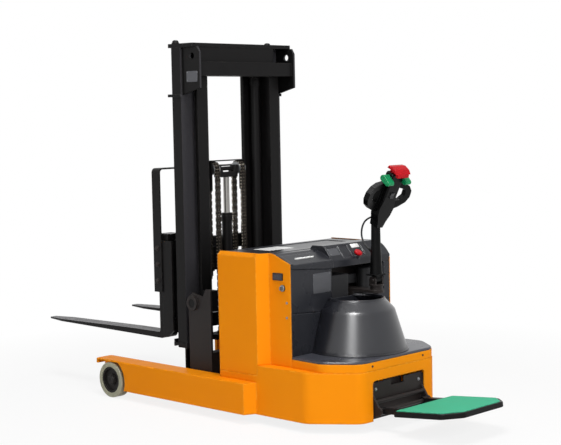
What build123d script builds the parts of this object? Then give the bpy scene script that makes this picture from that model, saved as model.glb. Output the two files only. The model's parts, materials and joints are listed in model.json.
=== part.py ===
from build123d import *
import os
from math import cos, hypot, radians, sin, tan

os.makedirs("parts", exist_ok=True)

# Driving dimensions in millimetres. X points to the truck's right, Y to the fork tips, Z up.
# Depths are measured forward from the chassis's rear face.
FORK_TIP = 2581
PLATFORM_END = -552
REAR = -(FORK_TIP + PLATFORM_END) / 2

# Chassis
TUB_HALF = 480
TUB_FRONT = 878
TUB_LOW = 50
LEDGE = 317
SEAM = 262
STEP_DEPTH = 590
WALL = 8
CORNER_HALF = 302
CORNER_DEPTH = 234
CORNER_RADIUS = 85
RIM_HALF = 428
RIM_DEPTH = 172
RIM_RADIUS = 110
RIM_WALL = 12
RIM_TOP = 362
DECK_TOP = 375
DECK_HOLE = 250
DECK_FRONT = 393
PANEL_REAR = 394
OPENING_HALF = 216
OPENING_RADIUS = 18
BODY_HALF = 414
BODY_TOP = 920
BEVEL = 20
SHEET = 5
COVER_HALF = 408
COVER_FACE = 395
COVER_SHEET = 6
COVER_SEAM = 604
SEAM_FALL = 15
SEAM_HALF = 200
COVER_RETURN = 35
RECESS_LEFT = -85
RECESS_RIGHT = 357
RECESS_LOW = 652
RECESS_TOP = 817
SHELF_TOP = 640

# Drive
DRIVE_DEPTH = 286
DRIVE_WHEEL_RADIUS = 115
DRIVE_WHEEL_WIDTH = 76
SLEW_RADIUS = 70
FIT = 0.06

# Legs and load wheels
LEG_IN = 424
LEG_OUT = 549
LEG_LOW = 53
LEG_TOP = 224
LEG_NOSE = 1895
LEG_PLATE = 8
CHANNEL_WEB = 464
POCKET_IN = 474
CHANNEL_LOW = 75
CHANNEL_HIGH = 205
WHEEL_DEPTH = 1757
WHEEL_RADIUS = 106
TYRE_INNER = 78
TYRE_IN = 477.5
TYRE_OUT = 547.5
AXLE_RADIUS = 15

# Reach frame
REACH_Z = 140
REACH_PLATE_IN = 404
REACH_PLATE_OUT = 416
ROLLER_RADIUS = 64
ROLLER_DEPTHS = (1035, 1180)
PIVOT_DEPTH = 1155
PIVOT_Z = 600
PIVOT_RADIUS = 25

# Mast
FIXED_IN = 255
FIXED_OUT = 330
FIXED_REAR = 1172
FIXED_FRONT = 1329
FIXED_FLANGE = 14
FIXED_WEB = 12
FIXED_LOW = 70
FIXED_TOP = 1960
MOVING_IN = 342
MOVING_OUT = 402
MOVING_REAR = 1232
MOVING_FRONT = 1305
MOVING_LOW = 330
MOVING_TOP = 2046
CYLINDER_X = 215
CYLINDER_DEPTH = 1258
FREE_DEPTH = 1298
SHEAVE_Z = 1345
CHAIN_RADIUS = 38
CHAIN_IN = 86
CHAIN_OUT = 122
LINK_PITCH = 19.05
LINK_STEP = 5
LINK_CHAMFER = 3.5
CHAIN_THICK = 12

# Fork carriage
FORK_X = 339
FORK_WIDTH = 100
FORK_THICK = 35
FORK_LOW = 365
SHANK_REAR = 1436
BAR_REAR = 1392
BAR_FRONT = 1432
HOOP_HALF = 410
HOOP_TOP = 1361

# Tiller
TILLER_X = 160
TILLER_DEPTH = 283
TILT_Z = 738
HEAD_DEPTH = 240
HEAD_Z = 1120
HEAD_LEAN = 26

# Platform
HINGE_DEPTH = -30
HINGE_Z = 104
PLATFORM_SLOPE = 5.4
PLATFORM_HALF = 252
PLATFORM_THICK = 28

SIDES = (("left", -1), ("right", 1))


def ahead(depth):
    """Y of a point at a depth in front of the chassis's rear face."""
    return REAR + depth


def plan(*points):
    """Plan points given as x and depth."""
    return [(x, ahead(depth)) for x, depth in points]


def side(*points):
    """Side-view points given as depth and height."""
    return [(ahead(depth), z) for depth, z in points]


def block(x, depth, z, mode=Mode.ADD):
    """A straight block between two x values, two depths and two heights."""
    with Locations((sum(x) / 2, ahead(sum(depth) / 2), sum(z) / 2)):
        Box(abs(x[1] - x[0]), abs(depth[1] - depth[0]), abs(z[1] - z[0]), mode=mode)


def bar(start, direction, length, radius, mode=Mode.ADD):
    """A round bar from a point given as x, depth and height."""
    origin = (start[0], ahead(start[1]), start[2])
    with Locations(Plane(origin=origin, z_dir=direction)):
        Cylinder(radius, length, align=(Align.CENTER, Align.CENTER, Align.MIN), mode=mode)


def keep(piece, name):
    """Label a finished piece and write its file."""
    piece.part.label = name
    export_step(piece.part, f"parts/{name}.step")


def tub_face(inset, front):
    """Plan of the chassis, drawn in by an inset and closed at a front depth."""
    with BuildSketch(mode=Mode.PRIVATE) as face:
        with BuildLine():
            Polyline(
                plan((-TUB_HALF, front), (-TUB_HALF, CORNER_DEPTH), (-CORNER_HALF, 0))
                + plan((CORNER_HALF, 0), (TUB_HALF, CORNER_DEPTH), (TUB_HALF, front)),
                close=True,
            )
        make_face()
        fillet(face.vertices().sort_by(Axis.Y)[:4], CORNER_RADIUS)
        if inset:
            offset(amount=-inset, mode=Mode.REPLACE)
    return face.sketch


def rim_face(inset):
    """Plan of the band and cover on the deck, drawn in by an inset."""
    with BuildSketch(mode=Mode.PRIVATE) as face:
        with BuildLine():
            Polyline(
                plan((-BODY_HALF, DECK_FRONT), (-RIM_HALF, RIM_DEPTH), (-CORNER_HALF, 0))
                + plan((CORNER_HALF, 0), (RIM_HALF, RIM_DEPTH), (BODY_HALF, DECK_FRONT)),
                close=True,
            )
        make_face()
        fillet(face.vertices().sort_by(Axis.Y)[:4], RIM_RADIUS)
        if inset:
            offset(amount=-inset, mode=Mode.REPLACE)
    return face.sketch


# Chassis tub: bent shell with a ledge round the deck, open below and stepped under the panels
WELL_HALF = 404
WELL_DEPTH = 240
WELL_REAR_HALF = 250
WELL_REAR = 40
REACH_HOLE = 30

with BuildPart() as chassis_tub:
    with BuildSketch(Plane.XY.offset(TUB_LOW)):
        add(tub_face(0, TUB_FRONT))
    extrude(amount=LEDGE - TUB_LOW)
    with BuildSketch(Plane.XY.offset(TUB_LOW)):
        add(tub_face(WALL, TUB_FRONT))
    extrude(amount=LEDGE - TUB_LOW - WALL, mode=Mode.SUBTRACT)
    block((-TUB_HALF, TUB_HALF), (STEP_DEPTH, TUB_FRONT), (SEAM, LEDGE), Mode.SUBTRACT)
    with BuildSketch(Plane.XY.offset(LEDGE - WALL)):
        with BuildLine():
            Polyline(
                plan((-WELL_HALF, STEP_DEPTH), (-WELL_HALF, WELL_DEPTH), (-WELL_REAR_HALF, WELL_REAR))
                + plan((WELL_REAR_HALF, WELL_REAR), (WELL_HALF, WELL_DEPTH), (WELL_HALF, STEP_DEPTH)),
                close=True,
            )
        make_face()
    extrude(amount=WALL, mode=Mode.SUBTRACT)
    with BuildSketch(Plane.XZ.offset(-REAR)) as rear_opening:
        with Locations((0, (TUB_LOW + SEAM) / 2)):
            Rectangle(2 * OPENING_HALF, SEAM - TUB_LOW)
        fillet(rear_opening.vertices().sort_by(Axis.Y)[-2:], OPENING_RADIUS)
    extrude(amount=-WALL, mode=Mode.SUBTRACT)
    bar((0, TUB_FRONT - WALL, REACH_Z), (0, 1, 0), WALL, REACH_HOLE, Mode.SUBTRACT)
keep(chassis_tub, "chassis_tub")

# Inner frame: battery floor, two bulkheads, equipment shelf, drive mount and tiller bracket
FRAME_HALF = 470
FLOOR = (182, 190)
BULKHEAD = (550, 556)
BULKHEAD_HALF = 400
BULKHEAD_TOP = 872
FRONT_BULKHEAD = (860, 868)
FRONT_HALF = 468
FRONT_TOP = 896
WINDOW_PITCH = 420
WINDOW_SIZE = (180, 300)
WINDOW_Z = 560
SHELF_REAR = 404
MOUNT_LOW = 285
MOUNT_THICK = 15
MOUNT_SHOULDER = 270
MOUNT_REAR_HALF = 280
MOUNT_REAR = 60
BRACKET_HALF = 42
BRACKET_FRONT = 520
PEDESTAL_REAR = 420
BRACKET_Z = 668
BRACKET_THICK = 16
STEER_RADIUS = 20
STEER_BOSS = 34
STEER_TOP = 705

with BuildPart() as inner_frame:
    block((-FRAME_HALF, FRAME_HALF), (BULKHEAD[0], FRONT_BULKHEAD[1]), FLOOR)
    block((-BULKHEAD_HALF, BULKHEAD_HALF), BULKHEAD, (FLOOR[0], BULKHEAD_TOP))
    block((-BULKHEAD_HALF, BULKHEAD_HALF), (SHELF_REAR, BULKHEAD[1]), (SHELF_TOP - WALL, SHELF_TOP))
    block((-FRONT_HALF, FRONT_HALF), FRONT_BULKHEAD, (FLOOR[1], FRONT_TOP))
    with GridLocations(WINDOW_PITCH, 0, 2, 1):
        with Locations((0, ahead(sum(FRONT_BULKHEAD) / 2), WINDOW_Z)):
            Box(WINDOW_SIZE[0], WALL, WINDOW_SIZE[1], mode=Mode.SUBTRACT)
    with BuildSketch(Plane.XY.offset(MOUNT_LOW)):
        with BuildLine():
            Polyline(
                plan((-FRAME_HALF, BULKHEAD[0]), (-FRAME_HALF, MOUNT_SHOULDER))
                + plan((-MOUNT_REAR_HALF, MOUNT_REAR), (MOUNT_REAR_HALF, MOUNT_REAR))
                + plan((FRAME_HALF, MOUNT_SHOULDER), (FRAME_HALF, BULKHEAD[0])),
                close=True,
            )
        make_face()
        with Locations((0, ahead(DRIVE_DEPTH))):
            Circle(SLEW_RADIUS, mode=Mode.SUBTRACT)
    extrude(amount=MOUNT_THICK)
    with BuildSketch(Plane.XY.offset(BRACKET_Z)):
        with Locations((TILLER_X, ahead((TILLER_DEPTH + BRACKET_FRONT) / 2))):
            Rectangle(2 * BRACKET_HALF, BRACKET_FRONT - TILLER_DEPTH)
        with Locations((TILLER_X, ahead(TILLER_DEPTH))):
            Circle(BRACKET_HALF)
    extrude(amount=BRACKET_THICK)
    pedestal = (TILLER_X - BRACKET_HALF, TILLER_X + BRACKET_HALF)
    block(pedestal, (PEDESTAL_REAR, BRACKET_FRONT), (SHELF_TOP, BRACKET_Z))
    steer_foot = (TILLER_X, TILLER_DEPTH, BRACKET_Z)
    bar(steer_foot, (0, 0, 1), STEER_TOP - BRACKET_Z, STEER_BOSS)
    bar(steer_foot, (0, 0, 1), STEER_TOP - BRACKET_Z, STEER_RADIUS + FIT, Mode.SUBTRACT)
keep(inner_frame, "inner_frame")

# Rim band that carries the deck cover
RIM_MOUTH = 40

with BuildPart() as deck_rim:
    with BuildSketch(Plane.XY.offset(LEDGE)):
        add(rim_face(0))
        add(rim_face(RIM_WALL), mode=Mode.SUBTRACT)
        with Locations((0, ahead(DECK_FRONT))):
            Rectangle(2 * (BODY_HALF - RIM_WALL), RIM_MOUTH, mode=Mode.SUBTRACT)
    extrude(amount=RIM_TOP - LEDGE)
keep(deck_rim, "deck_rim")

# Deck cover: moulded lip with a rounded top edge and a hole for the dome
LIP_INSET = 2
LIP_RADIUS = 8

with BuildPart() as deck_cover:
    with BuildSketch(Plane.XY.offset(RIM_TOP)):
        add(rim_face(LIP_INSET))
    extrude(amount=DECK_TOP - RIM_TOP)
    top_rear = deck_cover.faces().sort_by(Axis.Z)[-1].edges().sort_by(Axis.Y)[:-1]
    fillet(top_rear, LIP_RADIUS)
    bar((0, DRIVE_DEPTH, RIM_TOP), (0, 0, 1), DECK_TOP - RIM_TOP, DECK_HOLE, Mode.SUBTRACT)
keep(deck_cover, "deck_cover")

# Dome over the drive motor: turned shell with a foot flange, a shoulder and a beaded mouth, cut flat
# against the rear cover
DOME_FOOT = 276
DOME_BASE = 270
SHOULDER_RADIUS = 204
SHOULDER_Z = 598
MOUTH_RADIUS = 138
MOUTH_Z = 650
DOME_WALL = 6
DOME_ROUND = 30
FLANGE_TOP = DECK_TOP + 5
FLANGE_FOOT = DECK_TOP + 9
BEAD_OUT = MOUTH_RADIUS + 16
BEAD_TOP = MOUTH_Z + 10

with BuildPart() as drive_cover:
    with BuildSketch(Plane.XZ.offset(-ahead(DRIVE_DEPTH))) as dome_wall:
        with BuildLine():
            Polyline(
                (DOME_FOOT, DECK_TOP), (DOME_FOOT, FLANGE_TOP), (DOME_BASE, FLANGE_FOOT),
                (SHOULDER_RADIUS, SHOULDER_Z), (BEAD_OUT, MOUTH_Z), (BEAD_OUT - 2, BEAD_TOP - 2),
                (MOUTH_RADIUS + 5, BEAD_TOP), (MOUTH_RADIUS, BEAD_TOP - 5), (MOUTH_RADIUS, MOUTH_Z - 3),
                (BEAD_OUT - DOME_WALL, MOUTH_Z - 4), (SHOULDER_RADIUS - DOME_WALL, SHOULDER_Z - 4),
                (DOME_BASE - DOME_WALL, FLANGE_FOOT), (DOME_BASE - DOME_WALL, DECK_TOP), close=True,
            )
        make_face()
        for corner_z, radius in ((SHOULDER_Z, DOME_ROUND), (SHOULDER_Z - 4, DOME_ROUND - DOME_WALL)):
            fillet(dome_wall.vertices().filter_by_position(Axis.Y, corner_z - 0.1, corner_z + 0.1), radius)
    revolve(axis=Axis((0, ahead(DRIVE_DEPTH), 0), (0, 0, 1)))
    ahead_of_cover = (DECK_FRONT, DRIVE_DEPTH + DOME_FOOT)
    block((-DOME_FOOT, DOME_FOOT), ahead_of_cover, (DECK_TOP, BEAD_TOP), Mode.SUBTRACT)
keep(drive_cover, "drive_cover")

# Straddle legs: roller channel inside, hollow section outside, open bay round the load wheel
LEG_ROOT = 595
LEG_SHOULDER = 628
NOSE_RADIUS = 22
NOSE_LOW = 196
LEG_EDGE = 6
CHANNEL_END = 1860
POCKET = (900, 1700)
BAY_FRONT = 1870
BAY_RADIUS = 132
BAY_ROOF = LEG_TOP - LEG_PLATE
AXLE_LENGTH = 68
HUB_IN = 480
HUB_OUT = 544
DISH_IN = 530
DISH_RADIUS = 66
BOSS_OUT = 540
BOSS_RADIUS = 34
TYRE_EDGE = 6

for name, s in SIDES:
    with BuildPart() as leg:
        with BuildSketch(Plane.XY.offset(LEG_LOW)) as leg_plan:
            with BuildLine():
                Polyline(
                    plan((s * TUB_HALF, LEG_ROOT), (s * LEG_OUT, LEG_SHOULDER), (s * LEG_OUT, LEG_NOSE))
                    + plan((s * LEG_IN, LEG_NOSE), (s * LEG_IN, TUB_FRONT), (s * TUB_HALF, TUB_FRONT)),
                    close=True,
                )
            make_face()
            fillet(leg_plan.vertices().sort_by(Axis.Y)[-2:], NOSE_RADIUS)
        extrude(amount=LEG_TOP - LEG_LOW)
        outer_top = leg.edges().filter_by(Axis.Y).filter_by_position(Axis.Z, LEG_TOP, LEG_TOP)
        fillet(outer_top.filter_by_position(Axis.X, s * LEG_OUT - 1, s * LEG_OUT + 1), LEG_EDGE)
        channel = (s * LEG_IN, s * CHANNEL_WEB)
        block(channel, (TUB_FRONT, CHANNEL_END), (CHANNEL_LOW, CHANNEL_HIGH), Mode.SUBTRACT)
        pocket = (s * POCKET_IN, s * (LEG_OUT - LEG_PLATE))
        block(pocket, POCKET, (LEG_LOW + LEG_PLATE, BAY_ROOF), Mode.SUBTRACT)
        bay = (s * POCKET_IN, s * (LEG_OUT + 1))
        block(bay, (WHEEL_DEPTH, BAY_FRONT), (LEG_LOW, BAY_ROOF), Mode.SUBTRACT)
        block(bay, (BAY_FRONT, LEG_NOSE), (LEG_LOW, NOSE_LOW), Mode.SUBTRACT)
        with BuildSketch(Plane.YZ.offset(s * POCKET_IN)):
            with Locations(side((WHEEL_DEPTH, WHEEL_RADIUS))[0]):
                Circle(BAY_RADIUS)
            with Locations(side((WHEEL_DEPTH, BAY_ROOF + BAY_RADIUS))[0]):
                Rectangle(2 * BAY_RADIUS, 2 * BAY_RADIUS, mode=Mode.SUBTRACT)
        extrude(amount=bay[1] - bay[0], mode=Mode.SUBTRACT)
        bar((s * POCKET_IN, WHEEL_DEPTH, WHEEL_RADIUS), (s, 0, 0), AXLE_LENGTH, AXLE_RADIUS)
    keep(leg, f"{name}_leg")

    with BuildPart() as load_hub:
        hub_start = (s * HUB_IN, WHEEL_DEPTH, WHEEL_RADIUS)
        dish_start = (s * DISH_IN, WHEEL_DEPTH, WHEEL_RADIUS)
        bar(hub_start, (s, 0, 0), HUB_OUT - HUB_IN, TYRE_INNER)
        bar(dish_start, (s, 0, 0), HUB_OUT - DISH_IN, DISH_RADIUS, Mode.SUBTRACT)
        bar(dish_start, (s, 0, 0), BOSS_OUT - DISH_IN, BOSS_RADIUS)
        bar(hub_start, (s, 0, 0), HUB_OUT - HUB_IN, AXLE_RADIUS + FIT, Mode.SUBTRACT)
    keep(load_hub, f"{name}_load_hub")

    with BuildPart() as load_tyre:
        tyre_start = (s * TYRE_IN, WHEEL_DEPTH, WHEEL_RADIUS)
        bar(tyre_start, (s, 0, 0), TYRE_OUT - TYRE_IN, WHEEL_RADIUS)
        fillet(load_tyre.edges().filter_by(GeomType.CIRCLE), TYRE_EDGE)
        bar(tyre_start, (s, 0, 0), TYRE_OUT - TYRE_IN, TYRE_INNER, Mode.SUBTRACT)
    keep(load_tyre, f"{name}_load_tyre")

# Side panels: folded sheet with an inset rear half and a bevelled top edge; the left one slopes down
# to the rear, the right one is cut low for the end of the dash
PANEL_TURN = 585
PANEL_BEND = 548
PANEL_LIP = 380
LEFT_SLOPE = ((380, 862), (390, 866), (517, 917), (540, BODY_TOP))
RIGHT_NOTCH = ((380, 838), (558, 838), (558, BODY_TOP))
BEVEL_RUN = 21

for name, s in SIDES:
    with BuildPart() as side_panel:
        for shift, mode in ((0, Mode.ADD), (SHEET, Mode.SUBTRACT)):
            outer = s * (TUB_HALF - shift)
            inset = s * (BODY_HALF - shift)
            with BuildSketch(Plane.XY.offset(SEAM)):
                with BuildLine():
                    Polyline(
                        plan((outer, TUB_FRONT), (outer, PANEL_TURN + shift / 2))
                        + plan((inset, PANEL_BEND + shift / 2), (inset, PANEL_REAR))
                        + plan((s * PANEL_LIP, PANEL_REAR), (s * PANEL_LIP, TUB_FRONT)),
                        close=True,
                    )
                make_face()
            extrude(amount=BODY_TOP - SEAM, mode=mode)
        bevel_plane = Plane.XZ.offset(-ahead(STEP_DEPTH))
        with BuildSketch(bevel_plane):
            with BuildLine():
                Polyline(
                    (s * TUB_HALF, BODY_TOP - BEVEL), (s * (TUB_HALF + 1), BODY_TOP - BEVEL),
                    (s * (TUB_HALF + 1), BODY_TOP), (s * (TUB_HALF - BEVEL_RUN), BODY_TOP), close=True,
                )
            make_face()
        extrude(amount=STEP_DEPTH - TUB_FRONT, mode=Mode.SUBTRACT)
        with BuildSketch(bevel_plane):
            with BuildLine():
                Polyline(
                    (s * TUB_HALF, BODY_TOP - BEVEL), (s * (TUB_HALF - BEVEL_RUN), BODY_TOP),
                    (s * (TUB_HALF - BEVEL_RUN - SHEET), BODY_TOP),
                    (s * (TUB_HALF - SHEET), BODY_TOP - BEVEL), close=True,
                )
            make_face()
        extrude(amount=STEP_DEPTH - TUB_FRONT)
        block((s * PANEL_LIP, s * TUB_HALF), (PANEL_LIP, STEP_DEPTH), (SEAM, LEDGE), Mode.SUBTRACT)
        rear_top = LEFT_SLOPE if s < 0 else RIGHT_NOTCH
        with BuildSketch(Plane.YZ.offset(s * PANEL_LIP)):
            with BuildLine():
                Polyline(
                    side(*rear_top, (rear_top[-1][0], BODY_TOP + 1), (PANEL_LIP, BODY_TOP + 1)),
                    close=True,
                )
            make_face()
        extrude(amount=s * (BODY_HALF - PANEL_LIP), mode=Mode.SUBTRACT)
    keep(side_panel, f"{name}_side_panel")

# Rear covers: lower sheet behind the dome, upper sheet with the recess for the tiller bracket
COVER_LOW = LEDGE + 2
COVER_TOP = 840
APRON_LEFT = -140
SEAM_GAP = 2
RECESS_RADIUS = 14
LINER_RUN = 45

with BuildPart() as lower_rear_cover:
    with BuildSketch(Plane.XZ.offset(-ahead(COVER_FACE))):
        with BuildLine():
            Polyline(
                (-COVER_HALF, COVER_LOW), (COVER_HALF, COVER_LOW), (COVER_HALF, COVER_SEAM),
                (SEAM_HALF, COVER_SEAM - SEAM_FALL), (-SEAM_HALF, COVER_SEAM - SEAM_FALL),
                (-COVER_HALF, COVER_SEAM), close=True,
            )
        make_face()
    extrude(amount=-COVER_SHEET)
    for s in (-1, 1):
        flange = (s * COVER_HALF, s * (COVER_HALF - COVER_SHEET))
        block(flange, (COVER_FACE + 1, COVER_FACE + COVER_RETURN), (COVER_LOW, COVER_SEAM - 1))
keep(lower_rear_cover, "lower_rear_cover")

with BuildPart() as upper_rear_cover:
    with BuildSketch(Plane.XZ.offset(-ahead(COVER_FACE))) as cover_front:
        with BuildLine():
            Polyline(
                (-COVER_HALF, COVER_SEAM + SEAM_GAP), (-SEAM_HALF, COVER_SEAM + SEAM_GAP - SEAM_FALL),
                (SEAM_HALF, COVER_SEAM + SEAM_GAP - SEAM_FALL), (COVER_HALF, COVER_SEAM + SEAM_GAP),
                (COVER_HALF, RECESS_TOP), (RECESS_RIGHT, RECESS_TOP), (RECESS_RIGHT, RECESS_LOW),
                (RECESS_LEFT, RECESS_LOW), (RECESS_LEFT, RECESS_TOP), (APRON_LEFT, RECESS_TOP),
                (-COVER_HALF, COVER_TOP), close=True,
            )
        make_face()
        fillet(cover_front.vertices().filter_by_position(Axis.Y, RECESS_LOW, RECESS_LOW), RECESS_RADIUS)
    extrude(amount=-COVER_SHEET)
    for s, top in ((-1, COVER_TOP - 1), (1, RECESS_TOP)):
        flange = (s * COVER_HALF, s * (COVER_HALF - COVER_SHEET))
        block(flange, (COVER_FACE + 1, COVER_FACE + COVER_RETURN), (COVER_SEAM + SEAM_GAP, top))
    liner = (SHELF_TOP + 2, RECESS_TOP)
    block((RECESS_LEFT - COVER_SHEET, RECESS_LEFT), (COVER_FACE + 1, COVER_FACE + LINER_RUN), liner)
    block((RECESS_RIGHT, RECESS_RIGHT + COVER_SHEET), (COVER_FACE + 1, BULKHEAD[0] - 4), liner)
keep(upper_rear_cover, "upper_rear_cover")

# Dash: sloping left field with an apron, and a raised pod over the recess with a rounded right end
POD_LEFT = -78
POD_FOOT = (395, 853)
POD_CREST = (461, 935)
POD_WALL = 6
POD_END = 64
POD_END_LOW = 840
POD_ROUND = 58
POD_FOOT_RADIUS = 12
POD_CREST_RADIUS = 14
DASH_LOW = 818
DASH_FRONT = 556
POD_BACK = ((540, 935), (DASH_FRONT, 918), (DASH_FRONT, 880))
POD_HOLLOW = ((401, DASH_LOW), (401, 850), (464, 928), (537, 928), (549, 914), (549, 876), (420, DASH_LOW))
FIELD_FOOT = (391, 860)
FIELD_CREST = (486, 905)
FIELD_LEDGE = ((497, 903), (517, 914), (DASH_FRONT, 914))
FIELD_INNER = ((DASH_FRONT, 908), (519, 908), (499, 897), (486, 898), (398, 856), (398, DASH_LOW))
FIELD_RADIUS = 14
RIDGE_RADIUS = 8
APRON_CUT = 10
RAIL = ((397, 861), (482, 901), (481, 908), (394, 867))
RAIL_WIDTH = 22
SLOT_PLACE = (-250, 58)
SLOT_SIZE = (150, 9)
RIBS = ((POD_LEFT + 5, 10), (30, 5), (216, 8))
BAND_X = 78
BAND_WIDTH = 62
BAND_RISE = 55
BAND_LENGTH = 78
BAND_DEEP = 3
RIB_HIGH = 4


def rising_plane(foot, crest):
    """Plane on a slope that rises forward from a foot to a crest, both given as depth and height."""
    run = crest[0] - foot[0]
    rise = crest[1] - foot[1]
    normal = (0, -rise / hypot(run, rise), run / hypot(run, rise))
    return Plane(origin=(0, ahead(foot[0]), foot[1]), x_dir=(1, 0, 0), z_dir=normal)


pod_plane = rising_plane(POD_FOOT, POD_CREST)
field_plane = rising_plane(FIELD_FOOT, FIELD_CREST)
STOP_PLACE = (142, 18, 0)
STOP_LEAN = 30
STOP_STEM = 9
STOP_STEM_LOW = -16
STOP_CLEARANCE = 0.4
STOP_COLLAR = 20
STOP_COLLAR_LOW = -24
STOP_COLLAR_TOP = 8
STOP_CAP = 24
STOP_CAP_LOW = 16
STOP_CAP_TOP = 30
STOP_ROUND = 9
stop_axis = (0, -sin(radians(STOP_LEAN)), cos(radians(STOP_LEAN)))
stop_plane = Plane(origin=pod_plane.from_local_coords(STOP_PLACE), x_dir=(1, 0, 0), z_dir=stop_axis)

with BuildPart() as dash_panel:
    with BuildSketch(Plane.YZ.offset(-COVER_HALF)) as field:
        with BuildLine():
            Polyline(
                side((FIELD_FOOT[0], DASH_LOW), FIELD_FOOT, FIELD_CREST, *FIELD_LEDGE, *FIELD_INNER),
                close=True,
            )
        make_face()
        foot_inside = FIELD_INNER[4][1]
        fillet(field.vertices().filter_by_position(Axis.Y, FIELD_FOOT[1], FIELD_FOOT[1]), FIELD_RADIUS)
        fillet(field.vertices().filter_by_position(Axis.Y, foot_inside, foot_inside), RIDGE_RADIUS)
        fillet(field.vertices().filter_by_position(Axis.Y, FIELD_CREST[1], FIELD_CREST[1]), RIDGE_RADIUS)
    extrude(amount=COVER_HALF + POD_LEFT + POD_WALL)
    with BuildSketch(Plane.XZ.offset(-ahead(FIELD_FOOT[0]))):
        with BuildLine():
            Polyline(
                (-COVER_HALF, RECESS_TOP), (-COVER_HALF, COVER_TOP + SEAM_GAP),
                (APRON_LEFT, RECESS_TOP + SEAM_GAP), (APRON_LEFT, RECESS_TOP), close=True,
            )
        make_face()
    extrude(amount=-APRON_CUT, mode=Mode.SUBTRACT)
    with BuildSketch(Plane.YZ.offset(-COVER_HALF)):
        with BuildLine():
            Polyline(side(*RAIL), close=True)
        make_face()
    extrude(amount=RAIL_WIDTH)
    with BuildSketch(field_plane):
        with Locations(SLOT_PLACE):
            SlotOverall(*SLOT_SIZE)
    extrude(amount=-BAND_DEEP, mode=Mode.SUBTRACT)
    with BuildSketch(Plane.YZ.offset(POD_LEFT)) as pod_side:
        with BuildLine():
            Polyline(
                side((POD_FOOT[0], DASH_LOW), POD_FOOT, POD_CREST, *POD_BACK, POD_HOLLOW[-1]),
                close=True,
            )
        make_face()
        pod_corners = pod_side.vertices()
        fillet(pod_corners.filter_by_position(Axis.Y, POD_FOOT[1], POD_FOOT[1]), POD_FOOT_RADIUS)
        fillet(pod_corners.filter_by_position(Axis.Y, POD_CREST[1], POD_CREST[1]), POD_CREST_RADIUS)
    extrude(amount=COVER_HALF - POD_LEFT)
    with BuildSketch(Plane.YZ.offset(BODY_HALF - POD_END)):
        with BuildLine():
            Polyline(
                side((POD_FOOT[0], POD_END_LOW), POD_FOOT, POD_CREST, *POD_BACK)
                + side((BULKHEAD[0] - 2, POD_BACK[-1][1]), (BULKHEAD[0] - 2, POD_END_LOW)),
                close=True,
            )
        make_face()
    extrude(amount=POD_END)
    with BuildSketch(Plane.XZ.offset(-ahead(POD_FOOT[0]))):
        corner = (BODY_HALF - POD_ROUND, POD_CREST[1] - POD_ROUND)
        with Locations((corner[0] + POD_ROUND / 2, corner[1] + POD_ROUND / 2)):
            Rectangle(POD_ROUND, POD_ROUND)
        with Locations(corner):
            Circle(POD_ROUND, mode=Mode.SUBTRACT)
    extrude(amount=POD_FOOT[0] - DASH_FRONT, mode=Mode.SUBTRACT)
    with BuildSketch(Plane.YZ.offset(POD_LEFT + POD_WALL)):
        with BuildLine():
            Polyline(side(*POD_HOLLOW), close=True)
        make_face()
    extrude(amount=BODY_HALF - POD_END - POD_LEFT - POD_WALL, mode=Mode.SUBTRACT)
    for rib_x, rib_width in RIBS:
        with BuildSketch(pod_plane):
            with Locations((rib_x, BAND_RISE)):
                Rectangle(rib_width, BAND_LENGTH)
        extrude(amount=RIB_HIGH)
    with BuildSketch(pod_plane):
        with Locations((BAND_X, BAND_RISE)):
            Rectangle(BAND_WIDTH, BAND_LENGTH)
    extrude(amount=-BAND_DEEP, mode=Mode.SUBTRACT)
    for radius, mode in ((STOP_COLLAR, Mode.ADD), (STOP_STEM + STOP_CLEARANCE, Mode.SUBTRACT)):
        with BuildSketch(stop_plane.offset(STOP_COLLAR_LOW)):
            Circle(radius)
        extrude(amount=STOP_COLLAR_TOP - STOP_COLLAR_LOW, mode=mode)
keep(dash_panel, "dash_panel")

with BuildPart() as stop_button:
    with BuildSketch(stop_plane.offset(STOP_CAP_LOW)):
        Circle(STOP_CAP)
    extrude(amount=STOP_CAP_TOP - STOP_CAP_LOW)
    cap_rings = stop_button.edges().filter_by(GeomType.CIRCLE).sort_by(Axis(stop_plane.origin, stop_axis))
    fillet(cap_rings[-1], STOP_ROUND)
    with BuildSketch(stop_plane.offset(STOP_STEM_LOW)):
        Circle(STOP_STEM)
    extrude(amount=STOP_CAP_LOW - STOP_STEM_LOW)
keep(stop_button, "stop_button")

# Battery hood: flat lid with rounded rim and a shallow panel
HOOD_LOW = 898
HOOD_THICK = 18
HOOD_HALF = 446
HOOD_REAR = 560
HOOD_SHOULDER = 596
HOOD_FRONT = 872
HOOD_CORNER = 10
HOOD_EDGE = 6
HOOD_PANEL = ((-360, 360), (610, 830))
HOOD_SINK = 3

with BuildPart() as battery_hood:
    with BuildSketch(Plane.XY.offset(HOOD_LOW)) as hood_plan:
        with BuildLine():
            Polyline(
                plan((-BULKHEAD_HALF, HOOD_REAR), (BULKHEAD_HALF, HOOD_REAR))
                + plan((HOOD_HALF, HOOD_SHOULDER), (HOOD_HALF, HOOD_FRONT))
                + plan((-HOOD_HALF, HOOD_FRONT), (-HOOD_HALF, HOOD_SHOULDER)),
                close=True,
            )
        make_face()
        fillet(hood_plan.vertices(), HOOD_CORNER)
    extrude(amount=HOOD_THICK)
    fillet(battery_hood.faces().sort_by(Axis.Z)[-1].edges(), HOOD_EDGE)
    hood_top = HOOD_LOW + HOOD_THICK
    block(*HOOD_PANEL, (hood_top - HOOD_SINK, hood_top), Mode.SUBTRACT)
keep(battery_hood, "battery_hood")

# Battery: steel tray with two rows of cells
BATTERY_DEPTH = (580, 850)
TRAY_TOP = 680
CELL_PITCH = (98, 128)
CELL_SIZE = (92, 120, 24)

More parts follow.
